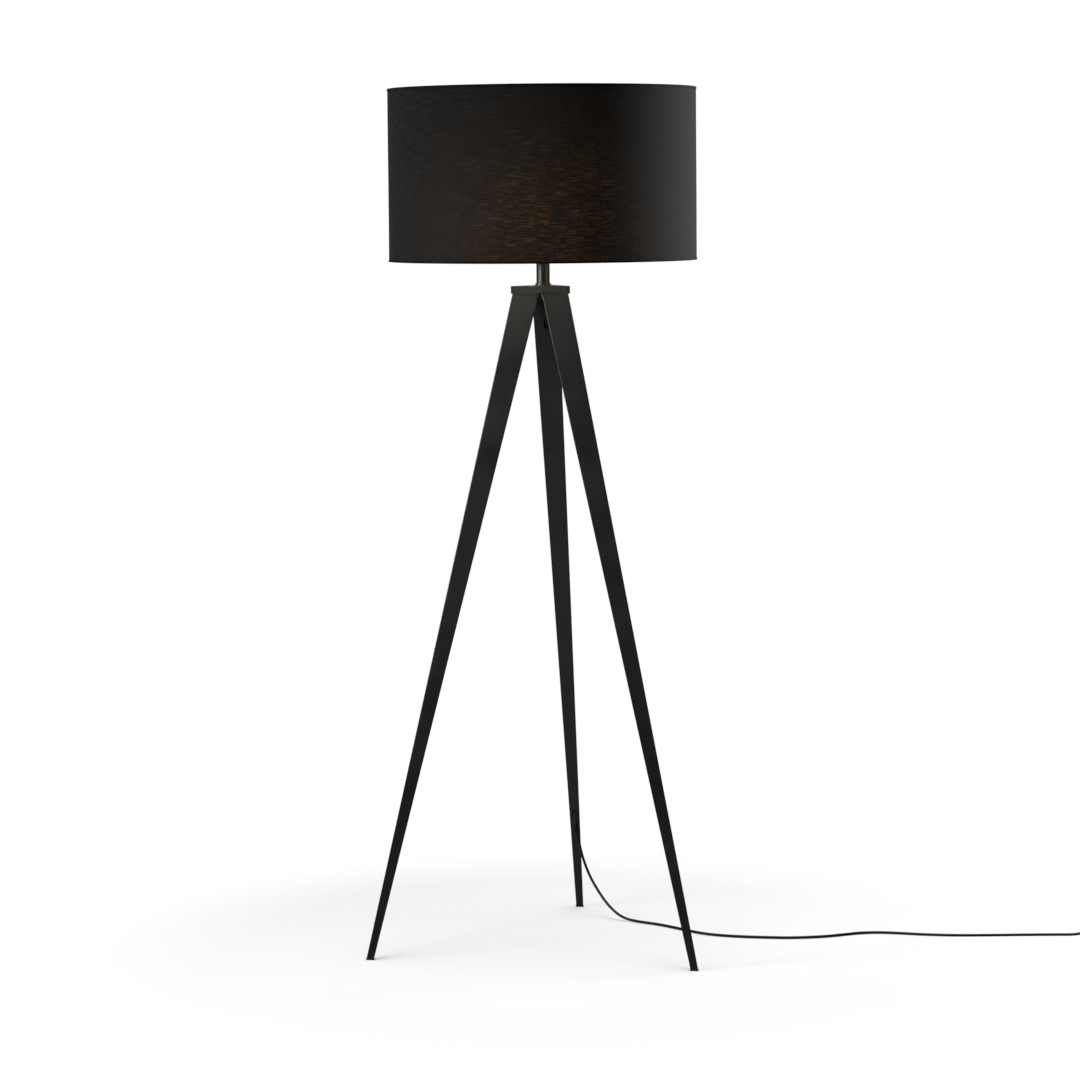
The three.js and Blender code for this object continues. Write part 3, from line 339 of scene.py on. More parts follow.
def mottled(s, base, dark_share, roughness, spread, scale):
    """Feeds a base colour that darkens in patches, which are a little smoother."""
    cloud = s.noise(s.place(), scale=scale, **CLOUDY)
    dark = [c * dark_share for c in base]
    s.feed("Base Color", s.ramp(cloud, (NOISE_LOW, dark), (NOISE_HIGH, base)))
    s.feed("Roughness", s.between(
        cloud, roughness - spread, roughness + spread, NOISE_LOW, NOISE_HIGH,
    ))


def metal(name, base, roughness):
    s = Shader(name, Metallic=1.0)
    mottled(s, base, dark_share=0.82, roughness=roughness, spread=0.08, scale=60)
    s.bump(s.noise(s.place(), scale=1500), distance=0.00002)
    return s.material


def plastic(name, base, roughness, grain=0.00005, grain_scale=1400, dark_share=0.8):
    """Moulded plastic with its spark-eroded grain and a slight mottling."""
    s = Shader(name)
    mottled(s, base, dark_share, roughness, spread=0.05, scale=40)
    s.bump(s.noise(s.place(), scale=grain_scale, detail=3), distance=grain)
    return s.material


def opal_glow():
    """The lit globe of the bulb, a little brighter towards its top."""
    s = Shader("opal_lit", Roughness=0.45)
    s.principled.inputs["Emission Color"].default_value = colour(1.0, 0.78, 0.48)
    place = s.place()
    cloud = s.noise(place, scale=30)
    dark, pale = (0.42, 0.38, 0.30), (0.50, 0.46, 0.37)
    s.feed("Base Color", s.ramp(cloud, (NOISE_LOW, dark), (NOISE_HIGH, pale)))
    height = s.add("ShaderNodeSeparateXYZ")
    s.link(place, height.inputs[0])
    low, high = heights("bulb_globe")
    s.feed("Emission Strength", s.between(height.outputs["Z"], 0.75, 1.05, low, high))
    return s.material


# Painted glow: emission on the cloth stands in for the bulb's light shining through it.
GLOW_BAND_MIDDLE = 0.811  # metres from the seam to the middle of a band where the painted glow is strongest
GLOW_BAND_SPACING = 0.574  # three such bands of painted glow go round the drum
GLOW_COLOUR = colour(1.0, 0.49, 0.17)
GLOW_HEIGHT = BULB_CENTRE_HEIGHT - 0.06
GLOW_SPREAD = 0.115  # standard deviation of the glow over the height
GLOW_STRENGTH = 0.052


def fading_glow(s, cloth, threads):
    """Strength of the painted glow that stands in for the bulb's light through the thin places of
    the weft, most near the bulb.
    """
    place = s.add("ShaderNodeSeparateXYZ")
    s.link(s.place(), place.inputs[0])
    above = s.value("SUBTRACT", place.outputs["Z"], GLOW_HEIGHT)
    squared = s.value("MULTIPLY", above, above)
    fall = s.value("POWER", math.e, s.value("MULTIPLY", squared, -1 / (2 * GLOW_SPREAD ** 2)))
    thin = s.between(threads, 1.0, 0.0, 0.40, 0.53)
    cloud = s.noise(s.stretched(cloth, (20, 30, 1)), detail=3, roughness=0.55)
    thin = s.value("MULTIPLY", thin, s.between(cloud, 0.6, 1.3, NOISE_LOW, NOISE_HIGH))
    # The painted glow is made stronger in three broad bands round the drum; the cloth itself is the
    # same all round.
    along = s.add("ShaderNodeSeparateXYZ")
    s.link(cloth, along.inputs[0])
    turns = s.value("SUBTRACT", along.outputs["X"], GLOW_BAND_MIDDLE)
    wave = s.value("COSINE", s.value("MULTIPLY", turns, 2 * math.pi / GLOW_BAND_SPACING))
    thin = s.value("MULTIPLY", thin, s.between(wave, 0.12, 1.0, -1.0, 1.0))
    return s.value("MULTIPLY", s.value("MULTIPLY", thin, fall), GLOW_STRENGTH)


def woven(name, tone, lit):
    """Black slub weave in cloth coordinates, where u runs along the weft and v up the warp."""
    s = Shader(name, Sheen_Weight=0.02, Sheen_Roughness=0.5, Specular_IOR_Level=0.08)
    s.principled.inputs["Sheen Tint"].default_value = colour(1.0, 0.99, 0.97)
    cloth = s.add("ShaderNodeUVMap", uv_map="cloth").outputs[0]
    slub = s.noise(s.stretched(cloth, (36, 520, 1)), detail=3, roughness=0.62)
    weft = s.noise(s.stretched(cloth, (150, 1400, 1)), detail=2, roughness=0.6)
    warp = s.noise(s.stretched(cloth, (900, 34, 1)), detail=3, roughness=0.6)
    threads = s.value("ADD", s.value("MULTIPLY", slub, 0.6), s.value("MULTIPLY", weft, 0.2))
    threads = s.value("ADD", threads, s.value("MULTIPLY", warp, 0.2))
    # Colour follows the height of the weave: the yarn's own black, with painted shade in the hollows
    # and a painted highlight on the crests.
    hollow, middle, crest = (grey(tone * level) for level in (0.0006, 0.0036, 0.014))
    s.feed("Base Color", s.ramp(threads, (0.38, hollow), (0.50, middle), (0.62, crest)))
    s.feed("Roughness", s.between(threads, 0.82, 0.96, 0.35, 0.65))
    s.bump(threads, distance=0.0005)
    # Painted glow of the bulb's light through the cloth.
    if lit:
        s.principled.inputs["Emission Color"].default_value = GLOW_COLOUR
        s.feed("Emission Strength", fading_glow(s, cloth, threads))
    return s.material


def lining():
    """Satin laminate behind the cloth, with the weave pressed faintly into it."""
    s = Shader("shade_lining", Specular_IOR_Level=0.4)
    place = s.place()
    cloud = s.noise(place, scale=12, **CLOUDY)
    dark, pale = (0.70, 0.65, 0.56), (0.78, 0.73, 0.64)
    s.feed("Base Color", s.ramp(cloud, (NOISE_LOW, dark), (NOISE_HIGH, pale)))
    s.feed("Roughness", s.between(cloud, 0.42, 0.56, NOISE_LOW, NOISE_HIGH))
    s.bump(s.noise(s.stretched(place, (300, 300, 900))), distance=0.0001)
    return s.material


PAINT = satin_paint()
STEEL = metal("zinc_plated_steel", (0.62, 0.61, 0.58), 0.34)
BLACK_STEEL = metal("black_oxide_steel", (0.035, 0.035, 0.036), 0.4)
BRASS = metal("brass", (0.72, 0.52, 0.22), 0.3)
NICKEL = metal("nickel_plate", (0.74, 0.72, 0.67), 0.2)
WIRE = plastic("white_epoxy_wire", (0.72, 0.71, 0.68), 0.35, 0.00002)
HOLDER = plastic("holder_phenolic", (0.018, 0.017, 0.016), 0.28, 0.00001)
CERAMIC = plastic("steatite", (0.78, 0.75, 0.68), 0.5, 0.00003)
HOUSING = plastic("bulb_housing_white", (0.86, 0.85, 0.82), 0.38, 0.00002, dark_share=0.95)
SWITCH = plastic("switch_black_grained", (0.02, 0.02, 0.021), 0.5, 0.00012, 1100)
PLUG = plastic("plug_black_pvc", (0.018, 0.018, 0.018), 0.42, 0.00006)
SHEATH = plastic("cord_black_pvc", grey(0.007), 0.38, 0.00004, 500)
SHEATH.node_tree.nodes["Principled BSDF"].inputs["Specular IOR Level"].default_value = 0.3
RUBBER = plastic("black_rubber", (0.016, 0.016, 0.015), 0.72, 0.00008)
OPAL = opal_glow()
CLOTH = woven("shade_slub_weave", 1.0, True)
TAPE = woven("shade_edge_tape", 0.3, False)
LINING = lining()

# ------------------------------ mesh helpers

SAME_PLACE = 1e-7  # points closer than this are one
RUNNING_GAP = 0.0003  # between a bore and what passes through it


def smoothed(piece, angle=35):
    """Smooth shading with edges sharper than the angle, in degrees, kept."""
    mesh = piece.data
    mesh.polygons.foreach_set("use_smooth", [True] * len(mesh.polygons))
    mesh.set_sharp_from_angle(angle=math.radians(angle))


def weighted(piece):
    """Flat faces keep flat shading beside the rounded edges that meet them."""
    piece.modifiers.new("flat_faces", "WEIGHTED_NORMAL").keep_sharp = True


def piece_from(name, vertices, faces, material):
    """A new piece with its double points merged and its faces turned outwards."""
    mesh = bpy.data.meshes.new(name)
    mesh.from_pydata([tuple(v) for v in vertices], [], faces)
    mesh.validate()
    form = bmesh.new()
    form.from_mesh(mesh)
    bmesh.ops.remove_doubles(form, verts=form.verts, dist=SAME_PLACE)
    bmesh.ops.recalc_face_normals(form, faces=form.faces)
    form.to_mesh(mesh)
    form.free()
    piece = bpy.data.objects.new(name, mesh)
    bpy.context.scene.collection.objects.link(piece)
    piece.data.materials.append(material)
    return piece


def fitted(piece, slot, body, *nodes):
    """The piece rides on a body and stands for CAD nodes, which are hidden. slot is not used."""
    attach(piece, body)
    if nodes:
        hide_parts(*nodes)
    return piece


def rounded(outline, steps=4):
    """A closed outline of (x, y, radius) corners as points, each corner an arc."""
    points = []
    count = len(outline)
    for i, (x, y, radius) in enumerate(outline):
        corner = Vector((x, y))
        before = Vector(outline[i - 1][:2]) - corner
        after = Vector(outline[(i + 1) % count][:2]) - corner
        if radius <= 0 or min(before.length, after.length) < SAME_PLACE:
            points.append(corner)
            continue
        half = before.angle(after) / 2
        reach = min(radius / math.tan(half), before.length / 2, after.length / 2)
        start = corner + before.normalized() * reach
        end = corner + after.normalized() * reach
        for k in range(steps + 1):
            t = k / steps
            points.append(start * (1 - t) ** 2 + corner * 2 * t * (1 - t) + end * t ** 2)
    return points


ORIGIN = Vector((0, 0, 0))


def lathe(name, outline, material, segments=96, centre=AXIS, steps=4, ripple=None):
    """A turned piece from a closed outline of (radius, height, corner radius).

    ripple(angle, radius, height) gives a change of radius, as for ribs.
    """
    profile = rounded(outline, steps)
    vertices = []
    faces = []
    for i in range(segments):
        angle = 2 * math.pi * i / segments
        for p in profile:
            radius = max(p.x, 0)
            if ripple and radius > 0:
                radius += ripple(angle, radius, p.y)
            vertices.append((
                centre.x + radius * math.cos(angle), centre.y + radius * math.sin(angle), p.y,
            ))
    count = len(profile)
    for i in range(segments):
        here, beside = i * count, (i + 1) % segments * count
        for k in range(count):
            above = (k + 1) % count
            faces.append((here + k, here + above, beside + above, beside + k))
    piece = piece_from(name, vertices, faces, material)
    smoothed(piece)
    return piece


def skinned(rings, sides):
    """Faces over a run of rings with as many points each, closed by a flat face at both ends."""
    faces = []
    for i in range(rings - 1):
        for k in range(sides):
            a, b = i * sides + k, i * sides + (k + 1) % sides
            faces.append((a, b, b + sides, a + sides))
    faces.append(tuple(range(sides)))
    faces.append(tuple(rings * sides - sides + k for k in reversed(range(sides))))
    return faces


def tube(name, points, radius, material, sides):
    """A round bar along points, with ends that close in a low dome."""
    path = [Vector(p) for p in points]
    rings = []
    normal = None
    for i, p in enumerate(path):
        ahead = path[min(i + 1, len(path) - 1)] - path[max(i - 1, 0)]
        ahead.normalize()
        if normal is None:
            normal = ahead.orthogonal().normalized()
        normal = (normal - ahead * normal.dot(ahead)).normalized()
        rings.append((p, ahead, normal.copy(), 1.0))
    first, last = rings[0], rings[-1]
    for share, out in ((0.75, 0.25), (0.45, 0.4)):  # shares of the radius: dome's width and rise
        rings.insert(0, (first[0] - first[1] * radius * out, first[1], first[2], share))
        rings.append((last[0] + last[1] * radius * out, last[1], last[2], share))
    vertices = []
    for p, ahead, side, share in rings:
        up = ahead.cross(side)
        for k in range(sides):
            angle = 2 * math.pi * k / sides
            vertices.append(p + (side * math.cos(angle) + up * math.sin(angle)) * radius * share)
    piece = piece_from(name, vertices, skinned(len(rings), sides), material)
    smoothed(piece, 50)
    return piece


def laid_along_x(piece, place, direction):
    """A piece turned about the upright axis at the origin, laid along X or -X from a place."""
    turn = Matrix.Rotation(direction * math.pi / 2, 4, "Y")
    piece.data.transform(Matrix.Translation(place) @ turn)


def joined(name, *parts):
    """Several pieces made into one."""
    form = bmesh.new()
    for part in parts:
        form.from_mesh(part.data)
    mesh = parts[0].data
    form.to_mesh(mesh)
    form.free()
    for part in parts[1:]:
        bpy.data.objects.remove(part)
    parts[0].name = name
    return parts[0]


def keep_node(node, material, angle=35, bevel=0.0):
    """A CAD node that stays: it gets its material and smooth shading."""
    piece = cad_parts[node]
    piece.data.materials.clear()
    piece.data.materials.append(material)
    smoothed(piece, angle)
    if bevel:
        edge = piece.modifiers.new("edge", "BEVEL")
        edge.width = bevel
        edge.segments = 3
        edge.limit_method = "ANGLE"
        edge.angle_limit = math.radians(40)
    weighted(piece)
    return piece


# ------------------------------ the free cord


def cord_curve(name, points):
    """A swept cord that stays a curve."""
    data = bpy.data.curves.new(name, "CURVE")
    data.dimensions = "3D"
    data.bevel_depth = CORD_DIAMETER / 2
    data.bevel_resolution = 4
    data.use_fill_caps = True
    spline = data.splines.new("POLY")
    spline.points.add(len(points) - 1)
    for point, place in zip(spline.points, points):
        point.co = (*place, 1)
    spline.use_smooth = True
    data.materials.append(SHEATH)
    piece = bpy.data.objects.new(name, data)
    bpy.context.scene.collection.objects.link(piece)
    return piece


def from_axis(points):
    """Points given from the lamp's axis, in the frame."""
    return [Vector(p) + AXIS for p in points]


def add_first_cord():
    route = curve_through(from_axis(CORD_TO_SWITCH), CORD_STEP)
    return fitted(cord_curve("cord_lamp_to_switch", route), "cord_sheath", LAMP, "cord_to_switch")


def add_second_cord():
    points = [*CORD_TO_COIL, *coil_points(), *CORD_TO_PLUG]
    route = curve_through(from_axis(points), TIGHT_CORD_STEP)
    return fitted(
        cord_curve("cord_switch_to_plug", route), "cord_sheath", LAMP,
        "cord_to_coil", "cord_coil", "cord_to_plug",
    )


first_cord = add_first_cord()
second_cord = add_second_cord()

# ------------------------------ shade

SEAM_ANGLE = math.radians(104)  # at the back of the drum
SEAM_OVERLAP = 0.012
SEAM_RISE = 0.006  # length over which the upper end climbs onto the lower one
GLUE_THICKNESS = 0.0001
CLOTH_THICKNESS = 0.0008
CLOTH_BULGE = 0.0002
BULGES = 5
SHEET_SEGMENTS = 300
SHEET_ROWS = 14
RIM_SEGMENTS = 240


def add_cloth_coordinates(piece, radius):
    """UV map cloth, in metres: along the drum's circumference and up its height."""
    mesh = piece.data
    layer = mesh.uv_layers.new(name="cloth")
    for face in mesh.polygons:
        first = None
        for corner in face.loop_indices:
            p = mesh.vertices[mesh.loops[corner].vertex_index].co - AXIS
            angle = (math.atan2(p.y, p.x) - SEAM_ANGLE) % (2 * math.pi)
            if first is None:
                first = angle
            if angle - first > math.pi:
                angle -= 2 * math.pi
            elif first - angle > math.pi:
                angle += 2 * math.pi
            inwards = radius - math.hypot(p.x, p.y)
            layer.data[corner].uv = (angle * radius, p.z + inwards)


def sheet_stations(outer):
    """Angles along the sheet, with how far it stands off there to pass over its own start."""
    overlap_angle = SEAM_OVERLAP / outer
    rise_angle = SEAM_RISE / outer
    stations = []
    for i in range(SHEET_SEGMENTS + 1):
        angle = i / SHEET_SEGMENTS * (2 * math.pi + overlap_angle)
        past = (angle - (2 * math.pi - rise_angle)) / rise_angle
        raised = (CLOTH_THICKNESS + GLUE_THICKNESS) * smooth_share(min(max(past, 0), 1))
        stations.append((angle + SEAM_ANGLE, raised))
    return stations


def sheet_faces(count, rows):
    """Faces of a closed sheet of count stations, each an outer and an inner column of points."""
    inner = rows + 1
    per = 2 * inner
    faces = []
    for a in range(0, (count - 1) * per, per):
        b = a + per
        for k in range(rows):
            faces.append((a + k, b + k, b + k + 1, a + k + 1))
            faces.append((a + inner + k, a + inner + k + 1, b + inner + k + 1, b + inner + k))
        faces.append((a, a + inner, b + inner, b))
        faces.append((a + rows, b + rows, b + inner + rows, a + inner + rows))
    for end in (0, (count - 1) * per):
        for k in range(rows):
            faces.append((end + k, end + k + 1, end + inner + k + 1, end + inner + k))
    return faces


def add_shade_fabric():
    """One sheet wrapped round the drum, its end glued over its start."""
    low, high = heights("shade_fabric")
    outer = outer_radius("shade_fabric")
    stations = sheet_stations(outer)
    vertices = []
    for angle, raised in stations:
        for side_radius in (outer, outer - CLOTH_THICKNESS):
            for k in range(SHEET_ROWS + 1):
                share = k / SHEET_ROWS
                wave = math.sin(math.pi * share) * math.sin(BULGES * angle + 3 * share)
                radius = side_radius + raised + CLOTH_BULGE * wave
                vertices.append((
                    AXIS.x + radius * math.cos(angle), AXIS.y + radius * math.sin(angle),
                    low + (high - low) * share,
                ))
    faces = sheet_faces(len(stations), SHEET_ROWS)
    piece = piece_from("shade_fabric_skin", vertices, faces, CLOTH)
    add_cloth_coordinates(piece, outer)
    smoothed(piece)
    fitted(piece, "shade_fabric", LAMP, "shade_fabric")
    return piece


def add_binding(node, inwards):
    """Edge tape folded over the rim. inwards is 1 at the lower rim and -1 at the upper one."""
    low, high = heights(node)
    edge = low if inwards > 0 else high
    depth = (high - low) * inwards
    outer = outer_radius(node)
    tape = 0.0006
    fold = 0.0069
    inner = outer - fold
    outline = [
        (outer, edge, 0.0013),
        (outer, edge + depth, 0.0003),
        (outer - tape, edge + depth, 0.0003),
        (outer - tape, edge + inwards * tape, 0.0003),
        (inner, edge + inwards * tape, 0.0003),
        (inner, edge + depth, 0.0002),
        (inner - tape, edge + depth, 0.0002),
        (inner - tape, edge, 0.0013),
    ]
    piece = lathe(node + "_tape", outline, TAPE, RIM_SEGMENTS)
    add_cloth_coordinates(piece, outer)
    return fitted(piece, "shade_binding", LAMP, node)


def add_spider():
    """Hub washer and three wire arms that turn down to the lower ring, with weld beads."""
    low, high = heights("shade_spider")
    hub_thickness = 0.0018
    wire = 0.0015
    bend = 0.014
    bend_steps = 12
    straight_steps = 6
    sides = 14
    lining_gap = 0.001
    arm_height = high - wire
    hub_low, hub_high = arm_height - hub_thickness / 2, arm_height + hub_thickness / 2
    holder = outer_radius("holder_skirt") + RUNNING_GAP
    hub = outer_radius("shade_ring_upper") + 0.003
    parts = [lathe("hub", [
        (holder, hub_low, 0.0003), (hub, hub_low, 0.0006),
        (hub, hub_high, 0.0006), (holder, hub_high, 0.0003),
    ], WIRE)]
    reach = outer_radius("shade_liner") - lining_gap - wire
    straight = reach - bend - hub

    def add_wire(name, points, radius):
        raised = [p + AXIS + Vector((0, 0, arm_height)) for p in points]
        parts.append(tube(name, raised, radius, WIRE, sides))

    for k in range(3):
        out = Matrix.Rotation(math.pi / 6 + 2 * math.pi * k / 3, 3, "Z") @ Vector((1, 0, 0))
        points = [out * (hub - 0.0028), out * (hub + 0.0004)]
        for i in range(1, straight_steps + 1):
            points.append(out * (hub + straight * i / straight_steps))
        for i in range(1, bend_steps + 1):
            angle = math.pi / 2 * i / bend_steps
            points.append(
                out * (reach - bend + bend * math.sin(angle))
                - Vector((0, 0, bend * (1 - math.cos(angle))))
            )
        points.append(out * reach - Vector((0, 0, arm_height - low)))
        add_wire("arm", points, wire)
        add_wire("bead", [out * (hub - 0.001), out * (hub + 0.0035)], wire * 1.35)
    return fitted(joined("shade_spider_wire", *parts), "frame_wire", LAMP, "shade_spider")


shade_cloth = [
    add_shade_fabric(),
    add_binding("shade_binding_top", -1),
    add_binding("shade_binding_bottom", 1),
]
add_spider()
keep_node("shade_liner", LINING)
for node in ("shade_wire_top", "shade_wire_bottom"):
    keep_node(node, WIRE, 80)

# ------------------------------ lampholder and bulb


def ribs(count, depth, above_radius, low, high):
    """A ripple of grip ribs on what lies outside a radius and between two heights."""

    def ripple(angle, radius, height):
        if radius < above_radius or not low < height < high:
            return 0.0
        return -depth * (0.5 - 0.5 * math.cos(count * angle)) ** 2

    return ripple


def add_ring_nut(node):
    low, high = heights(node)
    outer = outer_radius(node)
    inner = outer_radius("holder_skirt") + RUNNING_GAP
    rim = 0.0012
    grip = ribs(48, 0.0008, outer - 0.0004, low + 0.001, high - 0.001)
    piece = lathe(node + "_ribbed", [
        (inner, low, 0.0004), (outer, low, 0.0008), (outer, low + rim, 0.0002),
        (outer, high - rim, 0.0002), (outer, high, 0.0008), (inner, high, 0.0004),
    ], HOLDER, 288, ripple=grip)
    return fitted(piece, "holder_plastic", LAMP, node)


def add_holder():
    """The lampholder's cap, and its skirt with the thread for the two ring nuts."""
    low, high = heights("holder_cap")
    outer = outer_radius("holder_cap")
    skirt_wall = 0.0022
    inner = outer_radius("holder_skirt") - skirt_wall
    neck = 0.0053
    cap = lathe("holder_cap_moulded", [
        (neck, low, 0.0003), (neck + 0.0042, low, 0.0008), (inner, low + 0.007, 0.003),
        (outer, low + 0.012, 0.002), (outer, high, 0.0003), (inner, high, 0.0003),
        (inner, low + 0.011, 0.002), (neck + 0.0042, low + 0.0045, 0.001),
        (neck, low + 0.0045, 0.0003),
    ], HOLDER)
    fitted(cap, "holder_plastic", LAMP, "holder_cap")

    low, high = heights("holder_skirt")
    outer = outer_radius("holder_skirt")
    pitch = 0.0025
    thread_depth = 0.0008
    outline = [(inner, low, 0.0003), (outer, low, 0.0003), (outer, low + 0.011, 0.0002)]
    crest = low + 0.012
    while crest + pitch < high - 0.001:
        outline.append((outer, crest, 0.0003))
        outline.append((outer - thread_depth, crest + pitch / 2, 0.0003))
        crest += pitch
    outline += [(outer, crest, 0.0003), (outer, high, 0.0006), (inner, high, 0.0006)]
    skirt = lathe("holder_skirt_threaded", outline, HOLDER, steps=3)
    fitted(skirt, "holder_plastic", LAMP, "holder_skirt")


def add_bulb():
    """A hollow opal globe on a housing that widens from the screw cap."""
    low, high = heights("bulb_globe")
    radius = outer_radius("bulb_globe")
    wall = 0.001
    centre = high - radius
    start = -math.pi / 7
    collar = 0.020
    steps = 28
    outer = [(collar, low, 0)]
    inner = [(collar - wall, low, 0)]
    for i in range(steps + 1):
        angle = start + (math.pi / 2 - start) * i / steps
        across = math.cos(angle) if i < steps else 0
        outer.append((radius * across, centre + radius * math.sin(angle), 0))
        inner.append(((radius - wall) * across, centre + (radius - wall) * math.sin(angle), 0))
    globe = lathe("bulb_globe_opal", [*outer, *reversed(inner)], OPAL, 72)
    smoothed(globe, 60)
    fitted(globe, "opal", LAMP, "bulb_globe")

    low, high = heights("bulb_body")
    cap_radius = outer_radius("bulb_screw_cap")
    housing = lathe("bulb_housing", [
        (0, low, 0), (cap_radius, low, 0.0006), (collar, high - 0.008, 0.006),
        (collar, high - 0.0015, 0.0003), (collar - 0.0004, high - 0.001, 0.0001),
        (collar, high - 0.0006, 0.0001), (collar, high, 0.0003), (0, high, 0),
    ], HOUSING, 72)
    fitted(housing, "bulb_housing", LAMP, "bulb_body")


add_ring_nut("shade_ring_lower")
add_ring_nut("shade_ring_upper")
add_holder()
add_bulb()
keep_node("holder_core", CERAMIC, bevel=0.0003)
keep_node("holder_thread_sleeve", BRASS)
keep_node("holder_centre_contact", BRASS, bevel=0.0002)
keep_node("bulb_led_board", HOUSING)
keep_node("bulb_screw_cap", NICKEL)
keep_node("bulb_tip", HOLDER)

# ------------------------------ column and head


def add_column():
    """The column's tube, and the rounded collar at its foot."""
    low, high = heights("column_tube")
    outer = outer_radius("column_tube")
    wall = 0.002
    bore = outer - wall
    tube_piece = lathe("column_tube_round", [
        (bore, low, 0.0003), (outer, low, 0.0004), (outer, high, 0.0006), (bore, high, 0.0003),
    ], PAINT)
    fitted(tube_piece, "black_paint", LAMP, "column_tube")
    low, high = heights("column_collar")
    collar = outer_radius("column_collar")
    inner = outer + RUNNING_GAP
    ring = lathe("column_collar_round", [
        (inner, low, 0.0002), (collar, low, 0.0003), (collar, high, 0.0018), (inner, high, 0.0002),
    ], PAINT, steps=8)
    fitted(ring, "black_paint", LAMP, "column_collar")


add_column()
keep_node("head_plate", PAINT)
for node in ("column_bush", "threaded_pipe"):
    keep_node(node, STEEL)
for node in ("head_washer", "head_nut"):
    keep_node(node, STEEL, bevel=0.0003)

# ------------------------------ legs

for place in ("back", "left", "right"):
    keep_node(f"leg_{place}", PAINT)
    keep_node(f"leg_insert_{place}", STEEL)
    keep_node(f"leg_screw_{place}", BLACK_STEEL)
    keep_node(f"foot_pad_{place}", RUBBER, bevel=0.0004)

# ------------------------------ cord fittings

keep_node("cord_inside", SHEATH, 60)
grommet = keep_node("cord_grommet", RUBBER, bevel=0.0003)
tie = keep_node("cord_tie", RUBBER, bevel=0.0004)


CORD_BORE = CORD_DIAMETER / 2 + RUNNING_GAP


def add_sleeve():
    """The short moulded sleeve where the cord hangs out of its slot."""
    low, high = heights("cord_sleeve")
    end, top = 0.0033, 0.0037
    piece = lathe("cord_sleeve_moulded", [
        (CORD_BORE, low, 0.0001), (end, low, 0.0003), (top, high, 0.0005),
        (CORD_BORE, high, 0.0001),
    ], RUBBER, 48, upright_axis("cord_sleeve"))
    return fitted(piece, "foot_rubber", LAMP, "cord_sleeve")


def add_boot(node, name, direction):
    """A ribbed strain relief along X, wide at its root, with open grooves in its taper."""
    low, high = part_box(node)
    root = low.x if direction > 0 else high.x
    length = high.x - low.x
    centre = box_middle(node)
    root_radius = (high.z - low.z) / 2
    end_radius = 0.0034
    root_length = 0.003
    groove_count = 5
    groove_depth = 0.00088
    least_radius = CORD_BORE + 0.0004
    taper = [(root_radius, 0, 0.0003), (root_radius, root_length, 0.0005)]
    for i in range(groove_count):
        share = (i + 0.5) / groove_count
        along = root_length + (length - root_length) * share
        wide = root_radius + (end_radius - root_radius) * share
        taper += [
            (wide + 0.0001, along - 0.0011, 0.0002), (wide - groove_depth, along - 0.0008, 0.0002),
            (wide - groove_depth, along + 0.0006, 0.0002), (wide - 0.0001, along + 0.0009, 0.0002),
        ]
    taper.append((end_radius, length, 0.0004))
    outline = [
        (CORD_BORE, 0, 0.0001),
        *((max(radius, least_radius), along, corner) for radius, along, corner in taper),
        (CORD_BORE, length, 0.0001),
    ]
    piece = lathe(name, outline, RUBBER, 40, ORIGIN, 3)
    laid_along_x(piece, (root, centre.y, centre.z), direction)
    return fitted(piece, "foot_rubber", LAMP, node)


sleeve = add_sleeve()
boot_in = add_boot("switch_boot_in", "switch_boot_in_ribbed", -1)
boot_out = add_boot("switch_boot_out", "switch_boot_out_ribbed", 1)
plug_boot = add_boot("plug_boot", "plug_boot_ribbed", 1)

# ------------------------------ foot switch


SWITCH_WALL = 0.002
BUTTON_FLANGE = 0.002  # how far the button's flange reaches under the cover
COVER_LIP = 0.0022  # thickness of the cover round the button


def add_switch_base():
    """A shallow round tray."""
    low, high = heights("switch_base")
    outer = outer_radius("switch_base")
    inner = outer - SWITCH_WALL
    base = lathe("switch_base_moulded", [
        (0, low, 0), (outer - 0.001, low, 0.0006), (outer, low + 0.001, 0.0006),
        (outer, high - 0.0008, 0.0002), (outer - 0.0006, high, 0.0002),
        (inner, high, 0.0003), (inner, low + SWITCH_WALL, 0.0008), (0, low + SWITCH_WALL, 0),
    ], SWITCH, 120, SWITCH_AXIS)
    return fitted(base, "switch_plastic", LAMP, "switch_base")


def add_switch_cover():
    """A domed cover, with a rounded hole for the button."""
    low, high = heights("switch_cover")
    outer = outer_radius("switch_base")
    inner = outer - SWITCH_WALL
    hole = outer_radius("switch_button") - BUTTON_FLANGE + 0.00035
    cover = lathe("switch_cover_moulded", [
        (inner, low, 0.0003), (outer - 0.0006, low, 0.0002), (outer, low + 0.0008, 0.0002),
        (outer, low + 0.003, 0.004), (outer - 0.0016, high - 0.005, 0.006),
        (outer - 0.006, high - 0.001, 0.004), (hole + 0.002, high, 0.001), (hole, high, 0.0007),
        (hole, high - COVER_LIP, 0.0003), (outer - 0.007, high - 0.0032, 0.001),
        (inner - 0.0016, high - 0.006, 0.002), (inner, low + 0.003, 0.002),
    ], SWITCH, 120, SWITCH_AXIS, 6)
    return fitted(cover, "switch_plastic", LAMP, "switch_cover")


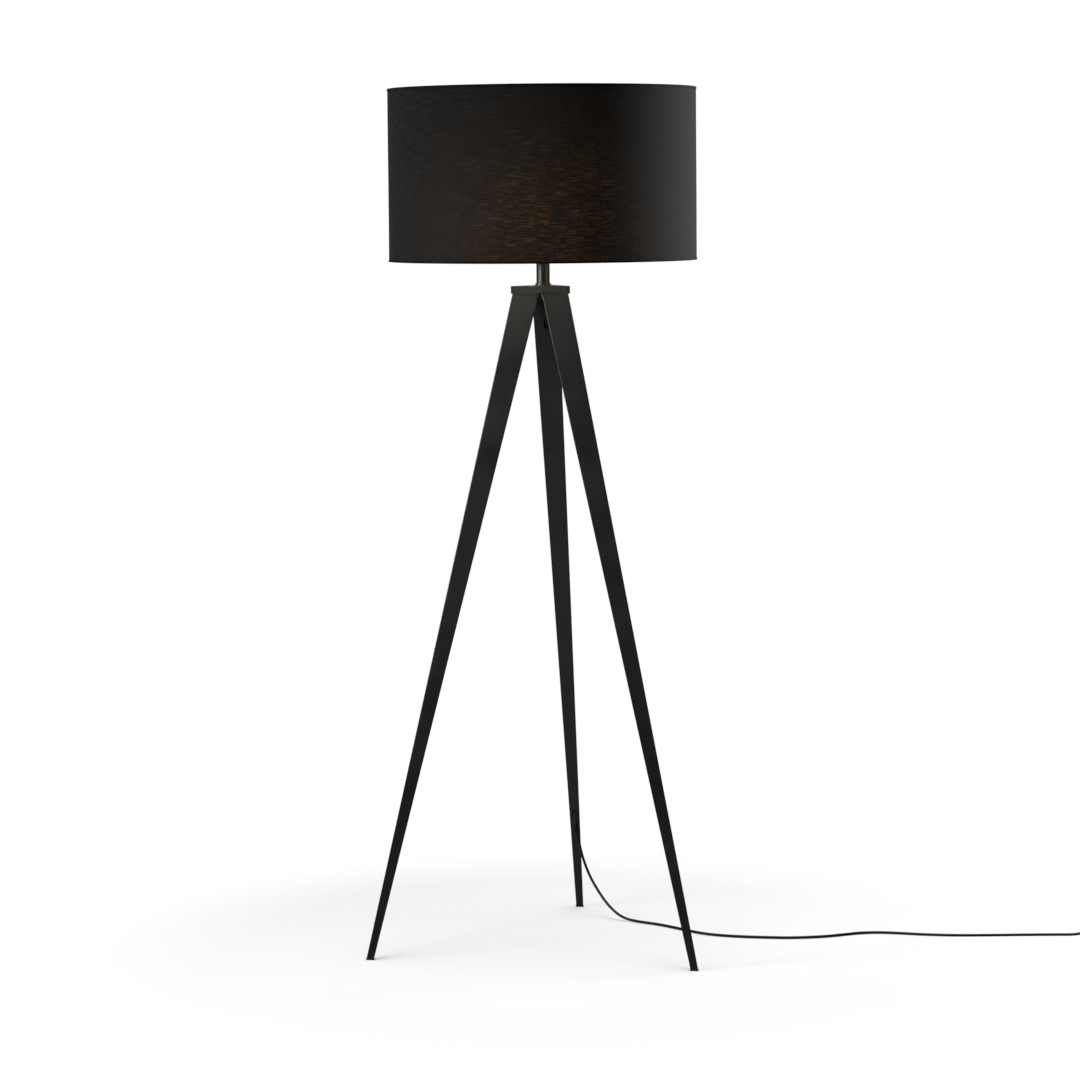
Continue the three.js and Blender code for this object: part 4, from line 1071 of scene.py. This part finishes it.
def add_switch_button():
    """A button with a stem, a flange under the cover and three grooves in its face."""
    low, high = heights("switch_button")
    stem = 0.0025
    flange = outer_radius("switch_button")
    face = flange - BUTTON_FLANGE
    inner = face - 0.002
    flange_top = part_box("switch_cover")[1].z - COVER_LIP - RUNNING_GAP
    flange_low = flange_top - 0.0016
    ceiling = high - 0.0045
    crown_rise = 0.0006
    crown = high - crown_rise
    outline = [
        (0, low, 0), (stem, low, 0.0003), (stem, ceiling, 0.0006), (inner, ceiling, 0.0008),
        (inner, flange_low, 0.0003), (flange, flange_low, 0.0003), (flange, flange_top, 0.0003),
        (face, flange_top, 0.0003), (face, crown - 0.001, 0.0016), (face - 0.0025, crown, 0.001),
    ]
    groove_depth = 0.0005
    for groove in (0.0125, 0.0095, 0.0065):
        top = crown + crown_rise * (1 - groove / face)
        outline += [
            (groove + 0.0007, top, 0.0002), (groove + 0.0003, top - groove_depth, 0.0002),
            (groove - 0.0003, top - groove_depth, 0.0002), (groove - 0.0007, top, 0.0002),
        ]
    outline.append((0, high, 0))
    button = lathe("switch_button_moulded", outline, SWITCH, 96, SWITCH_AXIS)
    return fitted(button, "switch_plastic", BUTTON, "switch_button")


def add_spring():
    """The CAD spring, with a mesh of its own."""
    spring = keep_node("switch_spring", STEEL, 80)
    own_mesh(spring)
    return spring


switch_pieces = [add_switch_base(), add_switch_cover(), add_switch_button()]
spring = add_spring()
contact_block = keep_node("switch_contact_block", CERAMIC, bevel=0.0004)

# ------------------------------ plug


def add_plug_body():
    """A flat body with a waist, and grip ridges on both faces."""
    low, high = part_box("plug_body")
    middle = box_middle("plug_body")
    length, width, height = high.x - low.x, high.y - low.y, high.z - low.z
    half = width / 2
    # Distance from the cord's end, half of the width there, and share of the height.
    stations = [
        (0, 0.0055, 0.84), (0.004, 0.0068, 0.92), (0.009, 0.0092, 0.97), (0.0145, 0.0124, 1.0),
        (0.019, half, 1.0), (0.026, half, 1.0), (length - 0.002, half, 1.0),
        (length, half - 0.0016, 0.86),
    ]
    sides = 40
    squareness = 0.42  # 1 is an ellipse, and less is nearer to a box
    vertices = []
    for back, wide, tall in stations:
        for k in range(sides):
            angle = 2 * math.pi * k / sides
            c, s = math.cos(angle), math.sin(angle)
            y = math.copysign(abs(c) ** squareness, c) * wide
            z = math.copysign(abs(s) ** squareness, s) * height / 2 * tall
            vertices.append((high.x - back, middle.y + y, middle.z + z))
    body = piece_from("plug_body_moulded", vertices, skinned(len(stations), sides), PLUG)
    smoothed(body, 50)
    parts = [body]
    ridge_half = 0.0065
    for face in (-1, 1):
        z = middle.z + face * (height / 2 - 0.0005)
        for i in range(4):
            x = high.x - 0.0205 - 0.003 * i
            ends = [(x, middle.y - ridge_half, z), (x, middle.y + ridge_half, z)]
            parts.append(tube("ridge", ends, 0.0006, PLUG, 12))
    return fitted(joined("plug_body_moulded", *parts), "switch_plastic", LAMP, "plug_body")


def add_pin(node, name):
    """A round pin with a domed tip, and the insulation over the half of it near the body."""
    low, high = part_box(node)
    centre = box_middle(node)
    root = (high.x, centre.y, centre.z)
    radius = (high.z - low.z) / 2
    reach = high.x - low.x
    pin = lathe(name, [
        (0, 0, 0), (radius, 0, 0), (radius, reach - 0.0012, 0.0005),
        (radius - 0.0008, reach, 0.0006), (0, reach, 0),
    ], NICKEL, 40, ORIGIN)
    laid_along_x(pin, root, -1)
    inner, outer = radius + 0.00003, radius + 0.00018
    insulation = lathe(name + "_insulation", [
        (inner, 0, 0), (outer, 0, 0), (outer, 0.0155, 0.0001), (inner, 0.0156, 0),
    ], PLUG, 40, ORIGIN)
    laid_along_x(insulation, root, -1)
    return [fitted(pin, "nickel", LAMP, node), fitted(insulation, "switch_plastic", LAMP)]


plug_pieces = [
    add_plug_body(),
    *add_pin("plug_pin_front", "plug_pin_a"),
    *add_pin("plug_pin_back", "plug_pin_b"),
]

# ------------------------------ floor and light

FLOOR_SIZE = 40
FLOOR_DROP = 0.0003  # keeps the floor just under the pads and the cord
FLOOR_SEEN = grey(0.90)
FLOOR_BOUNCE = grey(0.38)  # darker for bounced light, so that the legs stay black
NEAR_WHITE = 0.45  # metres from the lamp where the floor starts to fade to white
FAR_WHITE = 0.85
LEAST_WHITE = 0.15
AMBIENT = 0.045
BULB_POWER = 13.0
WHITE = (1.0, 1.0, 1.0)


def add_floor():
    """A pale floor that fades to plain white away from the lamp."""
    mesh = bpy.data.meshes.new("floor")
    form = bmesh.new()
    bmesh.ops.create_grid(form, x_segments=1, y_segments=1, size=FLOOR_SIZE / 2)
    form.to_mesh(mesh)
    form.free()
    floor = bpy.data.objects.new("floor", mesh)
    floor.location.z = -FLOOR_DROP
    bpy.context.scene.collection.objects.link(floor)
    s = Shader("floor_white", Roughness=0.9, Specular_IOR_Level=0.0)
    seen = s.add("ShaderNodeLightPath").outputs["Is Camera Ray"]
    s.feed("Base Color", s.ramp(seen, (0.0, FLOOR_BOUNCE), (1.0, FLOOR_SEEN)))
    distance = s.add("ShaderNodeVectorMath", operation="LENGTH")
    s.link(s.place(), distance.inputs[0])
    fade = s.between(distance.outputs["Value"], 0.0, 1.0, NEAR_WHITE, FAR_WHITE)
    fade.node.interpolation_type = "SMOOTHSTEP"
    fade = s.value("MULTIPLY", s.value("MAXIMUM", fade, LEAST_WHITE), seen)
    white = s.add("ShaderNodeEmission")
    white.inputs["Strength"].default_value = 1.0
    mix = s.add("ShaderNodeMixShader")
    s.link(fade, mix.inputs[0])
    s.link(s.principled.outputs[0], mix.inputs[1])
    s.link(white.outputs[0], mix.inputs[2])
    s.link(mix.outputs[0], s.nodes["Material Output"].inputs["Surface"])
    mesh.materials.append(s.material)
    return floor


def add_light(name, kind, power, tint):
    light = bpy.data.objects.new(name, bpy.data.lights.new(name, kind))
    light.data.energy = power
    light.data.color = tint
    light.visible_camera = False
    bpy.context.scene.collection.objects.link(light)
    return light


def add_soft_box(name, turn, distance, height, size, power, aim, spread=180, tint=WHITE, only=()):
    """An area light that points at the lamp's axis.

    It stands turn degrees round the lamp from the camera's side, right positive, and aims at the
    height aim. If pieces are given in only, it reaches them alone, as if flags kept it off the rest.
    """
    light = add_light(name, "AREA", power, tint)
    light.data.shape = "RECTANGLE"
    light.data.size, light.data.size_y = size
    light.data.spread = math.radians(spread)
    angle = CAMERA_AZIMUTH + math.radians(turn)
    place = AXIS + Vector((math.sin(angle) * distance, -math.cos(angle) * distance, height))
    target = AXIS + Vector((0, 0, aim))
    light.location = place
    light.rotation_mode = "QUATERNION"
    light.rotation_quaternion = (target - place).to_track_quat("-Z", "Y")
    if only:
        receivers = bpy.data.collections.new(name + "_receivers")
        for piece in only:
            receivers.objects.link(piece)
        light.light_linking.receiver_collection = receivers


def add_bulb_light():
    """The bulb's own light, sent out from just outside its globe."""
    light = add_light("bulb", "POINT", BULB_POWER, (1.0, 0.78, 0.45))
    light.data.shadow_soft_size = outer_radius("bulb_globe") + 0.001
    light.location = AXIS + Vector((0, 0, BULB_CENTRE_HEIGHT))


def add_world():
    """Plain white behind the lamp, and a much weaker white that lights it."""
    world = bpy.data.worlds.new("studio")
    bpy.context.scene.world = world
    world.use_nodes = True
    nodes, links = world.node_tree.nodes, world.node_tree.links
    mix = nodes.new("ShaderNodeMixShader")
    links.new(nodes.new("ShaderNodeLightPath").outputs["Is Camera Ray"], mix.inputs[0])
    for socket, background, strength in (
        (1, nodes["Background"], AMBIENT), (2, nodes.new("ShaderNodeBackground"), 1.0),
    ):
        background.inputs["Color"].default_value = colour(*WHITE)
        background.inputs["Strength"].default_value = strength
        links.new(background.outputs[0], mix.inputs[socket])
    links.new(mix.outputs[0], nodes["World Output"].inputs["Surface"])


floor = add_floor()
add_world()
add_bulb_light()
add_soft_box(
    "soft_right", turn=112, distance=2.4, height=1.5, size=(0.9, 0.7), power=12,
    aim=box_middle("shade_fabric").z, spread=50, only=shade_cloth,
)
add_soft_box(
    "soft_left", turn=-66, distance=2.6, height=1.6, size=(0.9, 1.2), power=11,
    aim=1.3, spread=60,
)
add_soft_box(
    "low_left", turn=-42, distance=3.0, height=1.5, size=(0.35, 0.35), power=1.6,
    aim=0.2, spread=60, only=[floor],
)
add_soft_box(
    "low_right", turn=105, distance=3.0, height=1.3, size=(0.4, 0.4), power=1.6,
    aim=0.2, spread=60, only=[floor],
)
add_soft_box(
    "head_warm", turn=-42, distance=1.8, height=1.28, size=(0.16, 0.16), power=0.06,
    aim=1.26, spread=10, tint=(1.0, 0.89, 0.62),
)
add_soft_box(
    "head_glow", turn=68, distance=1.8, height=1.30, size=(0.16, 0.16), power=0.032,
    aim=1.25, spread=10, tint=(1.0, 0.72, 0.34),
)
add_soft_box("overhead", turn=0, distance=0.3, height=4.4, size=(3.2, 3.2), power=205, aim=0)

bpy.context.scene.view_settings.view_transform = "Standard"
bpy.context.scene.view_settings.look = "None"
